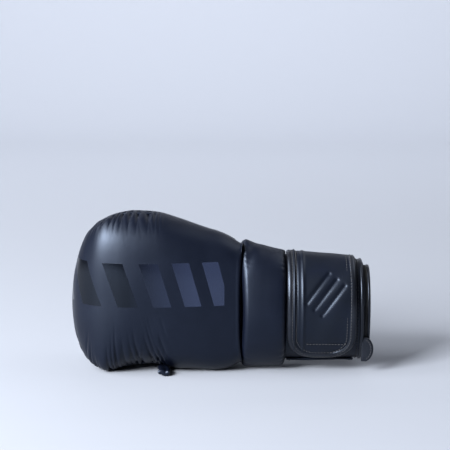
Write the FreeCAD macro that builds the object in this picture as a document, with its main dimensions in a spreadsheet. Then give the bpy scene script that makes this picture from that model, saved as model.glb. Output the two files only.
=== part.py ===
# Left-hand grappling and striking glove, lying on its little-finger side.
# Millimetres. +Z is the thumb side, -X the knuckles, +X the wrist, -Y the back of the hand, +Y the palm.
import FreeCAD, Part
import math
import os
import re

import Sketcher

vector = FreeCAD.Vector
doc = FreeCAD.newDocument("mma_glove")

# Driving sizes. Reaches are distances from the origin, thicknesses are of one layer.
sizes = {
    "front_reach": 143.5,      # origin to the front of the knuckle pad
    "hand_width": 150,         # little-finger side to index-finger side
    "back_reach": 52,          # origin to the outer back of the knuckle pad
    "palm_reach": 46,          # origin to the palm face of the front roll
    "back_thick": 32,          # knuckle pad over the back of the hand
    "front_thick": 28,         # knuckle pad in front of the fingers
    "wrist_thick": 17,         # knuckle pad where it ends at the wrist
    "wrist_drop": 11,          # how far the pad's outer face falls towards the wrist
    "pad_end": 13,             # origin to the wrist end of the pad, outer face
    "pad_lip": 3,              # how much further its inner face reaches
    "shoulder": 62,            # origin to where the outer face starts to fall
    "nose_round": 40,          # knuckle bend, seen from the side
    "roll_round": 16,          # palm bend of the front roll
    "roll_lip": 9,             # inner bend of the front roll
    "finger_bend": 16,         # bend of the lining at the fingertips
    "top_corner": 46,          # index-side front corner
    "low_corner": 50,          # little-finger-side front corner
    "edge_round": 26,          # rounding of the pad's long back edges
    "palm_round": 10,          # rounding of the roll's ends
    "cover": 1.6,              # leather
    "lining": 1.2,             # lining cloth
    "top_shoulder": 46,        # origin to where the index side starts to fall
    "low_shoulder": 2,         # origin to where the little-finger side starts to rise
    "outline_run": 3,          # how far both slopes run past the pad's wrist end
    "top_fall": 29,            # how far the index side falls towards the wrist
    "low_rise": 9,             # how far the little-finger side rises towards the wrist
    "side_wall": 2.4,          # side panels
    "side_end": 8,             # origin to the wrist end of the side panels, palm edge
    "palm_face": 24,           # origin to the hand side of the palm pieces
    "palm_thick": 3,           # palm band, dividers and inner face panel
    "roll_split": 14,          # origin to the seam between pad foam and roll foam
    "hole_front": 106,         # origin to the front of the finger holes
    "hole_back": 68,           # origin to the back of the finger holes
    "index_back": 78,          # origin to the back of the index finger hole
    "binding": 3,              # width of the leather binding round a finger hole
    "binding_proud": 0.6,      # how far a binding stands out of the piece that it edges
    "hole_round": 11,          # front corners of a finger hole's binding
    "hole_heel": 5,            # back corners of a finger hole's binding
    "hole_low": 6,             # little-finger side to the little finger's hole
    "hole_top": 3,             # index finger's hole to the index side
    "little_part": 28,         # parts of the width that is left, one number for each finger's hole
    "ring_part": 33,
    "middle_part": 28,
    "index_part": 27,
    "little_divider": 10.5,    # width of the divider between the little and ring fingers
    "ring_divider": 3.5,
    "middle_divider": 11,
    "band_low": 49,            # origin to the palm band's wrist edge, at the little-finger side
    "band_bow": 45,            # origin to where that edge bows furthest towards the wrist
    "band_bow_up": 42,
    "band_rise": 57,           # origin to where that edge starts its climb to the index side
    "band_rise_drop": 63,      # that place, down from the index side
    "band_high": 70,           # origin to that edge at the index side
    "hem": 4,                  # width of the hem along the palm band
    "edge_inset": 1,           # palm edge binding, in from the side panel's face
    "tack_long": 2.5,
    "tack_high": 1,
    "tack_inset": 2,           # front of a finger hole to its bartack
    "tack_gap": 0.5,           # bartack's end to the divider's edge
    "thumb_root": 6,           # origin to the wrist end of the thumb sleeve
    "thumb_tip": 50,           # origin to the open end of the thumb sleeve
    "thumb_root_side": 31,     # middle of the sleeve's wrist end, along Y
    "thumb_tip_side": 34,      # middle of the sleeve's open end, along Y
    "thumb_root_drop": 40,     # index side down to the middle of the sleeve's wrist end
    "thumb_tip_drop": 26,      # index side down to the middle of the sleeve's open end
    "thumb_half_wide": 18,     # half the sleeve's width, along Z
    "thumb_half_deep": 13.4,   # half the sleeve's depth, along Y
    "thumb_swell": 1,          # how much the sleeve's half width grows at its middle and shrinks at its end
    "thumb_bow": 0.5,          # how far the sleeve's middle bows towards the palm
    "thumb_root_run": 6,       # how far the sleeve's oval is carried past its wrist end
    "thumb_tip_run": 8,        # how far it is carried past its open end
    "thumb_edge": 12,          # palm edge of the thumb's side panel, along Y
    "thumb_pad": 5.3,          # height of the two thumb pads
    "thumb_pad_side": 4,       # sleeve's middle to the pads' edges, along Y
    "tip_pad_low": 15,         # sleeve's middle down to the tip pad's lower edge
    "tip_pad_high": 14,        # sleeve's middle up to the tip pad's upper edge
    "base_pad_low": 13,
    "base_pad_high": 16,
    "tip_pad_inset": 2,        # sleeve's open end to the tip pad
    "base_pad_inset": 1,       # sleeve's wrist end to the base pad
    "thumb_hem": 3,
    "hem_proud": 1,            # how far the thumb's hem stands out of the sleeve
    "pad_gap": 3,              # half the valley between the thumb pads
    "pad_round": 10,
    "piping": 2,               # height of the piping along the thumb's sleeve
    "piping_half": 2.5,        # half its width
    "piping_inset": 1,         # its ends, in from the sleeve's ends
    "cuff_front": 20,          # origin to the cuff at the wrist bend
    "cuff_end": 133,           # origin to the bound end of the cuff
    "cuff_cut": 15,            # how far the palm side of the cuff is cut back
    "groove": 5,               # how far the back of the cuff is cut back
    "cuff_side": -6,           # middle of the cuff, along Y
    "cuff_front_up": 61,       # middle of the cuff at the wrist bend, along Z
    "cuff_end_up": 56,         # middle of the cuff at its end, along Z
    "cuff_front_wide": 53,     # half the cuff's width at the wrist bend
    "cuff_end_wide": 47,       # half the cuff's width at its end
    "cuff_front_deep": 34,     # half the cuff's depth at the wrist bend
    "cuff_end_deep": 31,       # half the cuff's depth at its end
    "cuff_front_run": 10,      # how far the cuff's oval is carried past its front edge
    "cuff_end_run": 12,        # how far it is carried past its bound end
    "cuff_foam": 4.4,
    "cuff_binding": 3,
    "cuff_proud": 0.8,         # how far the end binding stands out of the cuff
    "sleeve_out": 6,           # how far the cuff's lining stands out of its end
    "wrist_foam": 5,
    "wrist_low": 10,
    "wrist_high": 117,
    "wrist_panel_end": 59,     # origin to the strap side of the padded wrist panel
    "wrist_side": -12,         # edge of the wrist panel, along Y
    "strap_start": 61,
    "strap_end": 126,
    "strap_low": 16,           # rounded free end of the strap
    "strap_round": 27,
    "strap_edge": 4,           # width of the strap's binding
    "strap_fold": -16,         # where the strap folds over the thumb side, along Y
    "fold_gap": 1,             # fold to the fixed part of the strap
    "patch": 1.2,              # hook or loop patch
    "strap_core": 0.8,
    "strap_skin": 1.2,
    "wrap": 2.2,               # fixed part of the strap round the palm side of the wrist
    "patch_inset": 5,
    "hook_inset": 2,           # how much smaller the hook patch is, all round
    "edge_gap": 0.4,           # loop patch to the strap's binding, over the gap between bodies
    "patch_low": 24,
    "patch_high": 94,
    "tab_start": 134.5,
    "tab_reach": 9,
    "tab_low": 11,
    "tab_high": 35,
    "tab_side": -31.5,
    "tab_thick": 3,
    "tab_flat": 0.5,           # straight stretch beside the tab's round corners
    "body_gap": 0.3,           # gap between pieces of different bodies
    "spare": 9,                # how far a trimming solid runs past what it trims
}

sheet = doc.addObject("Spreadsheet::Sheet", "sizes")
for row, (alias, value) in enumerate(sizes.items(), start=1):
    sheet.set(f"A{row}", alias)
    sheet.set(f"B{row}", str(value))
    sheet.setAlias(f"B{row}", alias)
doc.recompute()

far = "(front_reach * 2)"      # longer than anything that it trims
pieces = []


def bound(text):
    """The expression with each alias read from the sheet, and min() left as it is."""
    return re.sub(r"\b(?!min\()[a-z]+(?:_[a-z]+)*", lambda word: "sizes." + word.group(0), text)


def keep(solid, name):
    """Name a finished sub-part, which is written to a file of its own."""
    solid.Label = name
    pieces.append(solid)
    return solid


def prism(name, plane, corners, low, high, rounds=()):
    """A padded polygon from low to high across an origin plane, with some corners rounded."""
    body = doc.addObject("PartDesign::Body", name)
    sketch = body.newObject("Sketcher::SketchObject", name + "_outline")
    origin = [face for face in body.Origin.OriginFeatures if face.Role == plane + "_Plane"][0]
    sketch.AttachmentSupport = [(origin, "")]
    sketch.MapMode = "FlatFace"
    count = len(corners)
    turns = [2 * math.pi * step / count for step in range(count)]
    start = [vector(math.cos(turn), math.sin(turn), 0) * 50 for turn in turns]
    for side in range(count):
        sketch.addGeometry(Part.LineSegment(start[side], start[(side + 1) % count]), False)
    for side in range(count):
        after = (side + 1) % count
        sketch.addConstraint(Sketcher.Constraint("Coincident", side, 2, after, 1))
    for side, corner in enumerate(corners):
        for way, place in zip("XY", corner):
            seat = getattr(start[side], way.lower())
            rule = Sketcher.Constraint("Distance" + way, -1, 1, side, 1, seat)
            at = sketch.addConstraint(rule)
            sketch.setExpression(f"Constraints[{at}]", bound(place))
    solid = body.newObject("PartDesign::Pad", name + "_pad")
    solid.Profile = sketch
    solid.Midplane = True
    solid.setExpression("Length", bound(f"({high}) - ({low})"))
    doc.recompute()
    for step, (radius, which) in enumerate(rounds):
        spots = [sketch.Placement.multVec(sketch.Geometry[side].StartPoint) for side in which]
        edges = [
            f"Edge{number}"
            for number, edge in enumerate(solid.Shape.Edges, start=1)
            if any(edge.CenterOfMass.distanceToPoint(spot) < 0.001 for spot in spots)
        ]
        fillet = body.newObject("PartDesign::Fillet", f"{name}_round{step}")
        fillet.Base = (solid, edges)
        fillet.setExpression("Radius", bound(radius))
        doc.recompute()
        solid = fillet
    across = {"XY": "z", "XZ": "y", "YZ": "x"}[plane]
    body.setExpression("Placement.Base." + across, bound(f"(({high}) + ({low})) / 2"))
    doc.recompute()
    return body


def combine(kind, name, base, tool):
    """Part::Cut or Part::Common of two solids."""
    result = doc.addObject("Part::" + kind, name)
    result.Base = base
    result.Tool = tool
    return result


upright = FreeCAD.Rotation(vector(0, 0, 1), vector(0, 1, 0), vector(-1, 0, 0), "XYZ")


def tube(name, stations, grow):
    """A solid lofted through upright ellipses, each (x, y, z, half width, half depth), grown by grow."""
    rings = []
    for step, (along, side, up, wide, deep) in enumerate(stations):
        ring = doc.addObject("Part::Ellipse", f"{name}_ring{step}")
        ring.Placement = FreeCAD.Placement(vector(0, 0, 0), upright)
        ring.setExpression("Placement.Base.x", bound(along))
        ring.setExpression("Placement.Base.y", bound(side))
        ring.setExpression("Placement.Base.z", bound(up))
        ring.setExpression("MajorRadius", bound(f"{wide} + {grow}"))
        ring.setExpression("MinorRadius", bound(f"{deep} + {grow}"))
        rings.append(ring)
    loft = doc.addObject("Part::Loft", name)
    loft.Sections = rings
    loft.Solid = True
    return loft


def layer(name, stations, inner, outer, trim):
    """The part of a tube's wall between two growths that lies inside the solid trim."""
    wall = combine("Cut", name + "_wall", tube(name + "_out", stations, outer),
                   tube(name + "_in", stations, inner))
    return combine("Common", name, wall, trim)


def slab(name, corners, inset="0"):
    """The hand's outline from the back, held in by inset, as deep as it needs to be."""
    return prism(name, "XZ", corners, f"-{far}", far,
                 [(f"top_corner - {inset}", [2]), (f"low_corner - {inset}", [3])])


# ---- knuckle pad: side profile, back outline and end section, whose common part is the pad ----

def handOutline(name, inset):
    """Back view of the hand, held in by inset."""
    rear = "pad_end + pad_lip + outline_run"
    corners = [
        (rear, f"hand_width - top_fall - {inset}"),
        ("-top_shoulder", f"hand_width - {inset}"),
        (f"-front_reach + {inset}", f"hand_width - {inset}"),
        (f"-front_reach + {inset}", inset),
        ("-low_shoulder", inset),
        (rear, f"low_rise + {inset}"),
    ]
    return slab(name, corners, inset)


def padProfile(name, inset, rear):
    """Side view of the pad: over the back, round the knuckles and into the roll."""
    slope = "(-back_reach + wrist_drop)"
    corners = [
        (f"pad_end + {rear}", f"{slope} + {inset}"),
        ("-shoulder", f"-back_reach + {inset}"),
        (f"-front_reach + {inset}", f"-back_reach + {inset}"),
        (f"-front_reach + {inset}", f"palm_reach - {inset}"),
        (f"-front_reach + front_thick - {inset}", f"palm_reach - {inset}"),
        (f"-front_reach + front_thick - {inset}", f"-back_reach + back_thick - {inset}"),
        (f"pad_end + pad_lip + {rear}", f"{slope} + wrist_thick - {inset}"),
    ]
    rounds = [
        (f"nose_round - {inset}", [2]),
        (f"roll_round - {inset}", [3]),
        (f"roll_lip - {inset}", [4]),
        (f"finger_bend + {inset}", [5]),
    ]
    return prism(name, "XY", corners, f"-{far}", far, rounds)


def padSection(name, inset):
    """End view of the pad: a slab with its long edges rounded."""
    corners = [
        (f"-back_reach + {inset}", inset),
        (f"palm_reach - {inset}", inset),
        (f"palm_reach - {inset}", f"hand_width - {inset}"),
        (f"-back_reach + {inset}", f"hand_width - {inset}"),
    ]
    rounds = [(f"edge_round - {inset}", [0, 3]), (f"palm_round - {inset}", [1, 2])]
    return prism(name, "YZ", corners, f"-{far}", far, rounds)


def padSolid(name, inset, rear):
    """The whole pad, held in by inset and drawn out at the wrist by rear."""
    half = combine("Common", name + "_half", padProfile(name + "_side", inset, rear),
                   handOutline(name + "_back", inset))
    return combine("Common", name, half, padSection(name + "_end", inset))


whole = padSolid("pad_whole", "0", "0")
core = padSolid("pad_core", "cover", "1")
keep(combine("Cut", "knuckle_cover_cut", whole, core), "knuckle_cover")
stuffing = combine("Common", "pad_stuffing", whole, core)
front = prism(
    "roll_side", "XZ",
    [
        ("-front_reach - spare", "-spare"),
        ("0", "-spare"),
        ("0", "hand_width + spare"),
        ("-front_reach - spare", "hand_width + spare"),
    ],
    "roll_split", "palm_reach + spare")
keep(combine("Cut", "knuckle_foam_cut", stuffing, front), "knuckle_foam")
keep(combine("Common", "roll_foam_common", stuffing, front), "front_roll_foam")

# ---- hand space: lining, side panels and palm pieces ----

inside = handOutline("hand_inside", "side_wall")
rim = combine("Cut", "hand_rim", handOutline("hand_outside", "0"), inside)
fingers = "(-front_reach + front_thick)"
knuckles = "(-back_reach + back_thick)"
wrist = "(-back_reach + wrist_drop + wrist_thick)"
liningShape = prism(
    "lining_side", "XY",
    [
        ("pad_end + pad_lip", wrist),
        ("pad_end + pad_lip", f"{wrist} + lining"),
        (f"{fingers} + lining", f"{knuckles} + lining"),
        (f"{fingers} + lining", "palm_face"),
        (fingers, "palm_face"),
        (fingers, knuckles),
    ],
    f"-{far}", far, [("finger_bend - lining", [2]), ("finger_bend", [5])])
keep(combine("Common", "lining_common", liningShape, inside), "hand_lining")

palmOuter = "(palm_face + palm_thick)"


def sidePanel(name, label, start, stop, bottom, top, palm_side):
    """The stretch of the rim between the pad and the palm, from start to stop along X."""
    between = prism(
        name + "_between", "XY",
        [
            ("pad_end + pad_lip", wrist),
            ("side_end", palmOuter),
            (fingers, palmOuter),
            (fingers, knuckles),
        ],
        bottom, top, [("finger_bend", [3])])
    stretch = prism(name + "_stretch", "XZ",
                    [(start, bottom), (stop, bottom), (stop, top), (start, top)],
                    "-back_reach", palm_side)
    keep(combine("Common", name, combine("Common", name + "_rim", rim, between), stretch), label)


split = "-thumb_tip - thumb_root_run"
middle = "hand_width / 2"
sidePanel("little_side", "little_finger_side_panel", f"{fingers} - spare", "pad_end + spare",
          "-spare", middle, palmOuter)
sidePanel("index_side", "index_finger_side_panel", f"{fingers} - spare", split,
          middle, "hand_width + spare", palmOuter)
sidePanel("thumb_side", "thumb_side_panel", split, "pad_end + spare",
          middle, "hand_width + spare", "thumb_edge")

low = "side_wall"
high = "(hand_width - side_wall)"
facePanel = prism("inner_face", "XZ",
                  [(fingers, low), ("-hole_front", low), ("-hole_front", high), (fingers, high)],
                  "palm_face", palmOuter)
keep(combine("Common", "inner_face_common", facePanel, inside), "inner_face_panel")

# the holes share the palm's width, less its two margins and the three dividers
room = "(hand_width - hole_low - hole_top - little_divider - ring_divider - middle_divider)"
share = f"{room} / (little_part + ring_part + middle_part + index_part)"
littleHigh = f"(hole_low + {share} * little_part)"
ringLow = f"({littleHigh} + little_divider)"
ringHigh = f"({ringLow} + {share} * ring_part)"
middleLow = f"({ringHigh} + ring_divider)"
middleHigh = f"({middleLow} + {share} * middle_part)"
indexLow = f"({middleHigh} + middle_divider)"
holes = {
    "little": ("hole_low", littleHigh, "hole_back"),
    "ring": (ringLow, ringHigh, "hole_back"),
    "middle": (middleLow, middleHigh, "hole_back"),
    "index": (indexLow, "(hand_width - hole_top)", "index_back"),
}


def holeBlock(name, hole, inset):
    """A finger hole's outline: round at the front, squarer at the back, held in by inset."""
    lower, upper, back = holes[hole]
    corners = [
        (f"-hole_front + {inset}", f"{lower} + {inset}"),
        (f"-{back} - {inset}", f"{lower} + {inset}"),
        (f"-{back} - {inset}", f"{upper} - {inset}"),
        (f"-hole_front + {inset}", f"{upper} - {inset}"),
    ]
    # a hole narrower than its two round corners is rounded as far as its width allows
    widest = f"(({upper}) - ({lower})) * 0.48"
    rounds = [(f"min(hole_round; {widest}) - {inset}", [0, 3]), (f"hole_heel - {inset}", [1, 2])]
    return prism(name, "XZ", corners, "palm_face - binding_proud", f"{palmOuter} + binding_proud", rounds)


for hole in holes:
    ring = combine("Cut", hole + "_binding_cut", holeBlock(hole + "_outer", hole, "0"),
                   holeBlock(hole + "_inner", hole, "binding"))
    keep(ring, hole + "_finger_binding")

neighbours = [("little", "ring"), ("ring", "middle"), ("middle", "index")]
tacks = []
for first, second in neighbours:
    lower = holes[first][1]
    upper = holes[second][0]
    name = f"{first}_{second}"
    keep(prism(name, "XZ",
               [("-hole_front", lower), ("-hole_back", lower), ("-hole_back", upper), ("-hole_front", upper)],
               "palm_face", palmOuter), name + "_divider")
    tack = doc.addObject("Part::Box", name + "_tack")
    tack.setExpression("Length", bound("tack_long"))
    tack.setExpression("Width", bound("tack_high"))
    tack.setExpression("Height", bound(f"({upper}) - ({lower}) - tack_gap * 2"))
    tack.setExpression("Placement.Base.x", bound("-hole_front + tack_inset"))
    tack.setExpression("Placement.Base.y", bound(palmOuter))
    tack.setExpression("Placement.Base.z", bound(f"({lower}) + tack_gap"))
    tacks.append(tack)
group = doc.addObject("Part::Compound", "tack_group")
group.Links = tacks
keep(group, "divider_bartacks")

# the palm band's wrist edge bows towards the palm and then climbs to the index side
bandEdge = [
    ("-band_low", low),
    ("-band_bow", "band_bow_up"),
    ("-band_rise", "hand_width - band_rise_drop"),
    ("-band_high", high),
]
bandFront = [("-index_back", high), ("-index_back", indexLow), ("-hole_back", indexLow), ("-hole_back", low)]
keep(prism("band", "XZ", bandEdge + bandFront, "palm_face", palmOuter), "palm_band")
hemFront = list(reversed(bandEdge))
hemBack = [(f"{along} + hem", up) for along, up in bandEdge]
keep(prism("band_hem", "XZ", hemBack + hemFront, "palm_face - binding_proud",
           f"{palmOuter} + binding_proud"), "palm_band_hem")
edgeStart = "-band_low + hem + edge_inset"
edgeTop = "edge_inset + hem"
keep(prism("palm_edge", "XZ",
           [
               (edgeStart, "edge_inset"),
               ("side_end", "edge_inset"),
               ("side_end", edgeTop),
               (edgeStart, edgeTop),
           ],
           palmOuter, f"{palmOuter} + binding"), "palm_edge_binding")

# ---- thumb: sleeve, lining, two pads, hem and piping ----

rootUp = "(hand_width - thumb_root_drop)"
tipUp = "(hand_width - thumb_tip_drop)"
valley = "((thumb_root - thumb_tip) / 2)"
thumbStations = [
    ("thumb_root + thumb_root_run", "thumb_root_side", f"{rootUp} - thumb_swell",
     "thumb_half_wide", "thumb_half_deep"),
    (valley, "(thumb_root_side + thumb_tip_side) / 2 + thumb_bow", f"({rootUp} + {tipUp}) / 2",
     "thumb_half_wide + thumb_swell", "thumb_half_deep"),
    ("-thumb_tip - thumb_tip_run", "thumb_tip_side", f"{tipUp} + thumb_swell",
     "thumb_half_wide - thumb_swell", "thumb_half_deep - thumb_swell"),
]


def thumbTrim(name, start, end):
    """A block that trims the thumb's layers, from start to end along X."""
    corners = [(start, "0"), (end, "0"), (end, "hand_width * 2"), (start, "hand_width * 2")]
    return prism(name, "XZ", corners, "0", far)


sleeveTrim = thumbTrim("sleeve_trim", "-thumb_tip", "thumb_root")
keep(layer("sleeve", thumbStations, "0 - cover", "0", sleeveTrim), "thumb_sleeve")
liningTrim = thumbTrim("thumb_lining_trim", "-thumb_tip", "thumb_root")
keep(layer("sleeve_lining", thumbStations, "0 - cover - lining", "0 - cover", liningTrim), "thumb_lining")
hemTrim = thumbTrim("thumb_hem_trim", "-thumb_tip - thumb_hem", "-thumb_tip")
keep(layer("sleeve_hem", thumbStations, "0 - cover - lining", "hem_proud", hemTrim), "thumb_hem")
padRanges = {
    "tip": ("-thumb_tip + tip_pad_inset", f"{valley} - pad_gap",
            f"{tipUp} - tip_pad_low", f"{tipUp} + tip_pad_high"),
    "base": (f"{valley} + pad_gap", "thumb_root - base_pad_inset",
             f"{rootUp} - base_pad_low", f"{rootUp} + base_pad_high"),
}
for end, (start, stop, bottom, top) in padRanges.items():
    corners = [(start, bottom), (stop, bottom), (stop, top), (start, top)]
    shape = prism(f"thumb_{end}_outline", "XZ", corners, "thumb_root_side + thumb_pad_side", far,
                  [("pad_round", [0, 1, 2, 3])])
    keep(layer(f"thumb_{end}", thumbStations, "0", "thumb_pad", shape), f"thumb_{end}_pad")
pipingStart = "-thumb_tip + piping_inset"
pipingEnd = "thumb_root - piping_inset"
pipingTrim = prism("thumb_piping_trim", "XZ",
                   [(pipingStart, "0"), (pipingEnd, "0"), (pipingEnd, rootUp), (pipingStart, rootUp)],
                   "thumb_root_side - piping_half", "thumb_root_side + piping_half")
keep(layer("thumb_edge", thumbStations, "0", "piping", pipingTrim), "thumb_edge_piping")

# ---- cuff: shell, foam, lining, bound end and padded wrist panel ----

cuffStations = [
    ("cuff_front - cuff_front_run", "cuff_side", "cuff_front_up", "cuff_front_wide", "cuff_front_deep"),
    ("cuff_end + cuff_end_run", "cuff_side", "cuff_end_up", "cuff_end_wide", "cuff_end_deep"),
]


def cuffTrim(name, end):
    """Side view of the cuff: its front edge is cut back from the wrist bend to the back and to the palm."""
    corners = [
        ("cuff_front + groove", "-back_reach"),
        ("cuff_front", wrist),
        ("cuff_front + cuff_cut", "palm_reach"),
        (end, "palm_reach"),
        (end, "-back_reach"),
    ]
    return prism(name, "XY", corners, "-hand_width", "hand_width * 2")


def panel(name, start, end, bottom, top, low_side, high_side, rounds=()):
    """A rectangle seen from the back of the cuff, with its lower corners first."""
    corners = [(start, bottom), (end, bottom), (end, top), (start, top)]
    return prism(name, "XZ", corners, low_side, high_side, rounds)


shellEnd = "cuff_end - cuff_binding"
foamInner = "0 - cover - cuff_foam"
liningInner = "0 - cover - cuff_foam - lining"
keep(layer("cuff_shell", cuffStations, "0 - cover", "0", cuffTrim("shell_trim", shellEnd)), "cuff_cover")
keep(layer("cuff_stuffing", cuffStations, foamInner, "0 - cover", cuffTrim("foam_trim", shellEnd)),
     "cuff_foam")
keep(layer("cuff_inner", cuffStations, liningInner, foamInner,
           cuffTrim("cuff_lining_trim", "cuff_end + sleeve_out")), "cuff_lining")
bindingTrim = panel("binding_trim", shellEnd, "cuff_end", "-hand_width", "hand_width * 2", f"-{far}", far)
keep(layer("cuff_edge", cuffStations, foamInner, "cuff_proud", bindingTrim), "cuff_end_binding")



def wristTrim(name):
    """The wrist panel's outline: the cuff's front edge, and two round corners towards the strap."""
    box = panel(name + "_box", "0", "wrist_panel_end", "wrist_low", "wrist_high", f"-{far}", "wrist_side",
                [("pad_round", [1, 2])])
    return combine("Common", name, cuffTrim(name + "_cut", "wrist_panel_end"), box)


keep(layer("wrist_stuffing", cuffStations, "0", "wrist_foam", wristTrim("wrist_foam_trim")),
     "wrist_panel_foam")
keep(layer("wrist_skin", cuffStations, "wrist_foam", "wrist_foam + cover", wristTrim("wrist_cover_trim")),
     "wrist_panel_cover")

# ---- strap: fixed wrap, loop patch, and the flap with its hook patch, core, leather and binding ----

wrapTrim = panel("wrap_trim", "strap_start", "strap_end", "-hand_width", "hand_width * 2",
                 "strap_fold + fold_gap", far)
keep(layer("strap_wrap", cuffStations, "0", "wrap", wrapTrim), "strap_wrist_wrap")
loopTrim = panel("loop_trim", "strap_start + patch_inset", "strap_end - patch_inset",
                 "patch_low", "patch_high", f"-{far}", "strap_fold")
keep(layer("loop_layer", cuffStations, "0", "patch", loopTrim), "loop_patch")

hookInner = "patch + body_gap"
coreInner = "patch * 2 + body_gap"
skinInner = "patch * 2 + body_gap + strap_core"
skinOuter = "patch * 2 + body_gap + strap_core + strap_skin"


def flapOutline(name, inset):
    """The flap seen from the back: square at the fold, round at the free end."""
    return panel(name, f"strap_start + {inset}", f"strap_end - {inset}", f"strap_low + {inset}",
                 "hand_width * 2", f"-{far}", "strap_fold",
                 [(f"strap_round - {inset}", [0, 1])])


hookTrim = panel("hook_trim", "strap_start + patch_inset + hook_inset",
                 "strap_end - patch_inset - hook_inset", "patch_low + hook_inset", "patch_high - hook_inset",
                 f"-{far}", "strap_fold - hook_inset", [("pad_round", [0, 1])])
keep(layer("hook_layer", cuffStations, hookInner, coreInner, hookTrim), "hook_patch")
keep(layer("core_layer", cuffStations, coreInner, skinInner, flapOutline("core_trim", "strap_edge")),
     "strap_core")
keep(layer("skin_layer", cuffStations, skinInner, skinOuter, flapOutline("skin_trim", "strap_edge")),
     "strap_leather")
edgeRing = combine("Cut", "edge_ring", flapOutline("edge_outer", "0"),
                   flapOutline("edge_inner", "strap_edge"))
keep(layer("edge_layer", cuffStations, "patch + body_gap + edge_gap", f"{skinOuter} + binding_proud",
           edgeRing), "strap_binding")

# ---- pull tab at the end of the cuff ----

tabCorners = [
    ("tab_start", "tab_low"),
    ("tab_start + tab_reach", "tab_low"),
    ("tab_start + tab_reach", "tab_high"),
    ("tab_start", "tab_high"),
]
keep(prism("tab", "XZ", tabCorners, "tab_side - tab_thick / 2", "tab_side + tab_thick / 2",
           [("tab_reach - tab_flat", [1, 2])]), "pull_tab")

doc.recompute()
for item in doc.Objects:
    if "Invalid" in item.State or "Error" in item.State:
        raise SystemExit(f"{item.Label} did not build: {item.State}")
for piece in pieces:
    if piece.Shape.isNull() or not piece.Shape.isValid() or not piece.Shape.Solids:
        raise SystemExit(f"{piece.Label} is not a valid solid")

os.makedirs("parts", exist_ok=True)
for piece in pieces:
    piece.Shape.exportStep(f"parts/{piece.Label}.step")
    print(f"{piece.Label:28s} solids {len(piece.Shape.Solids)} volume {piece.Shape.Volume:9.1f}")
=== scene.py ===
import math

import bmesh
import bpy
import numpy as np
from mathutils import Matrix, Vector


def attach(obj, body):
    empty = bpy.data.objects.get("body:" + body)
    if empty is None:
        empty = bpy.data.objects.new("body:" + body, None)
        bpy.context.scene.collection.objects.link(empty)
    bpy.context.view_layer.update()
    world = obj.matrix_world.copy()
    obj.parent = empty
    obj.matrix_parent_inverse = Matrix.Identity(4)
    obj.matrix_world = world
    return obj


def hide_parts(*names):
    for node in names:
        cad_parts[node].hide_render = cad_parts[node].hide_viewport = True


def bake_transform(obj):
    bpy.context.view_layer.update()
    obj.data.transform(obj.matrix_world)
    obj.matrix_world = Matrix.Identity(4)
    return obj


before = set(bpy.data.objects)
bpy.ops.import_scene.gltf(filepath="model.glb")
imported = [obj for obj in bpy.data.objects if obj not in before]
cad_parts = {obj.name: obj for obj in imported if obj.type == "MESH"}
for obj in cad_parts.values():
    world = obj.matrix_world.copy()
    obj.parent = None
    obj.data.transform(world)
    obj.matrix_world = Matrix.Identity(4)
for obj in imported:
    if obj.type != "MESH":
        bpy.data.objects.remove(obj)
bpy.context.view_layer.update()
print("frame loaded:", len(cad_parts), "nodes")
mm = 0.001

# shared shape tools: each works on whole arrays of points, rows by columns by x, y, z


def smoothThrough(stations, values, at):
    # cubic between points, whose slopes are the mean slopes of their neighbours
    stations = np.asarray(stations, float)
    values = np.asarray(values, float)
    slope = np.gradient(values, stations, axis=0)
    at = np.clip(at, stations[0], stations[-1])
    left = np.clip(np.searchsorted(stations, at) - 1, 0, len(stations) - 2)
    gap = stations[left + 1] - stations[left]
    t = (at - stations[left]) / gap
    if values.ndim > 1:
        gap, t = gap[..., None], t[..., None]
    return ((2 * t**3 - 3 * t**2 + 1) * values[left] + (t**3 - 2 * t**2 + t) * gap * slope[left]
            + (3 * t**2 - 2 * t**3) * values[left + 1] + (t**3 - t**2) * gap * slope[left + 1])


def through(points, at):
    # the same cubic through pairs of a place and a value
    stations, values = zip(*points)
    return smoothThrough(stations, values, at)


def spanAt(span, t):
    # the middle of a span, plus t times half its length
    return (span[0] + span[1]) / 2 + (span[1] - span[0]) / 2 * t


def crossed(down, across):
    # two lists made into two grids, rows by columns
    return np.meshgrid(down, across, indexing="ij")


def roundTurn(count):
    # angles once round, without the last one
    return np.linspace(0, 2 * np.pi, count, endpoint=False)


def runAlong(line):
    # distance along a line of points, from 0 at its start
    return np.insert(np.cumsum(np.linalg.norm(np.diff(line, axis=0), axis=1)), 0, 0)


def packed(count, pull=0.55):
    # 0 to 1, with steps that close up towards both ends
    even = np.linspace(0, 1, count)
    return (1 - pull) * even + pull * (0.5 - 0.5 * np.cos(np.pi * even))


def bump(t, low, high, soft):
    # 1 between low and high, falling to 0 over soft on each side
    rise = np.clip((t - low) / soft + 0.5, 0, 1)
    fall = np.clip((high - t) / soft + 0.5, 0, 1)
    return rise * rise * (3 - 2 * rise) * fall * fall * (3 - 2 * fall)


def ripple(t, pitch, seed, waves=5):
    # a sum of sines about one pitch, each with its own length and phase
    draw = np.random.default_rng(seed)
    total = np.zeros_like(t, dtype=float)
    for wave in range(waves):
        total = total + np.sin(2 * np.pi * t / (pitch * draw.uniform(0.6, 1.7)) + draw.uniform(0, 6.28))
    return total / math.sqrt(waves)


def pleat(t, pitch, seed):
    # narrow creases between round folds: 1 on a fold, 0 in a crease, at an uneven pitch
    warped = t + 0.30 * pitch * ripple(t, pitch * 4.5, seed)
    return np.abs(np.sin(np.pi * warped / pitch)) ** 0.55


def steps(grid, axis, wrap):
    # centred difference along one axis
    if wrap:
        return np.roll(grid, -1, axis) - np.roll(grid, 1, axis)
    return np.gradient(grid, axis=axis)


def unit(vectors):
    # each vector divided by its own length
    return vectors / np.maximum(np.linalg.norm(vectors, axis=-1, keepdims=True), 1e-9)


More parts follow.
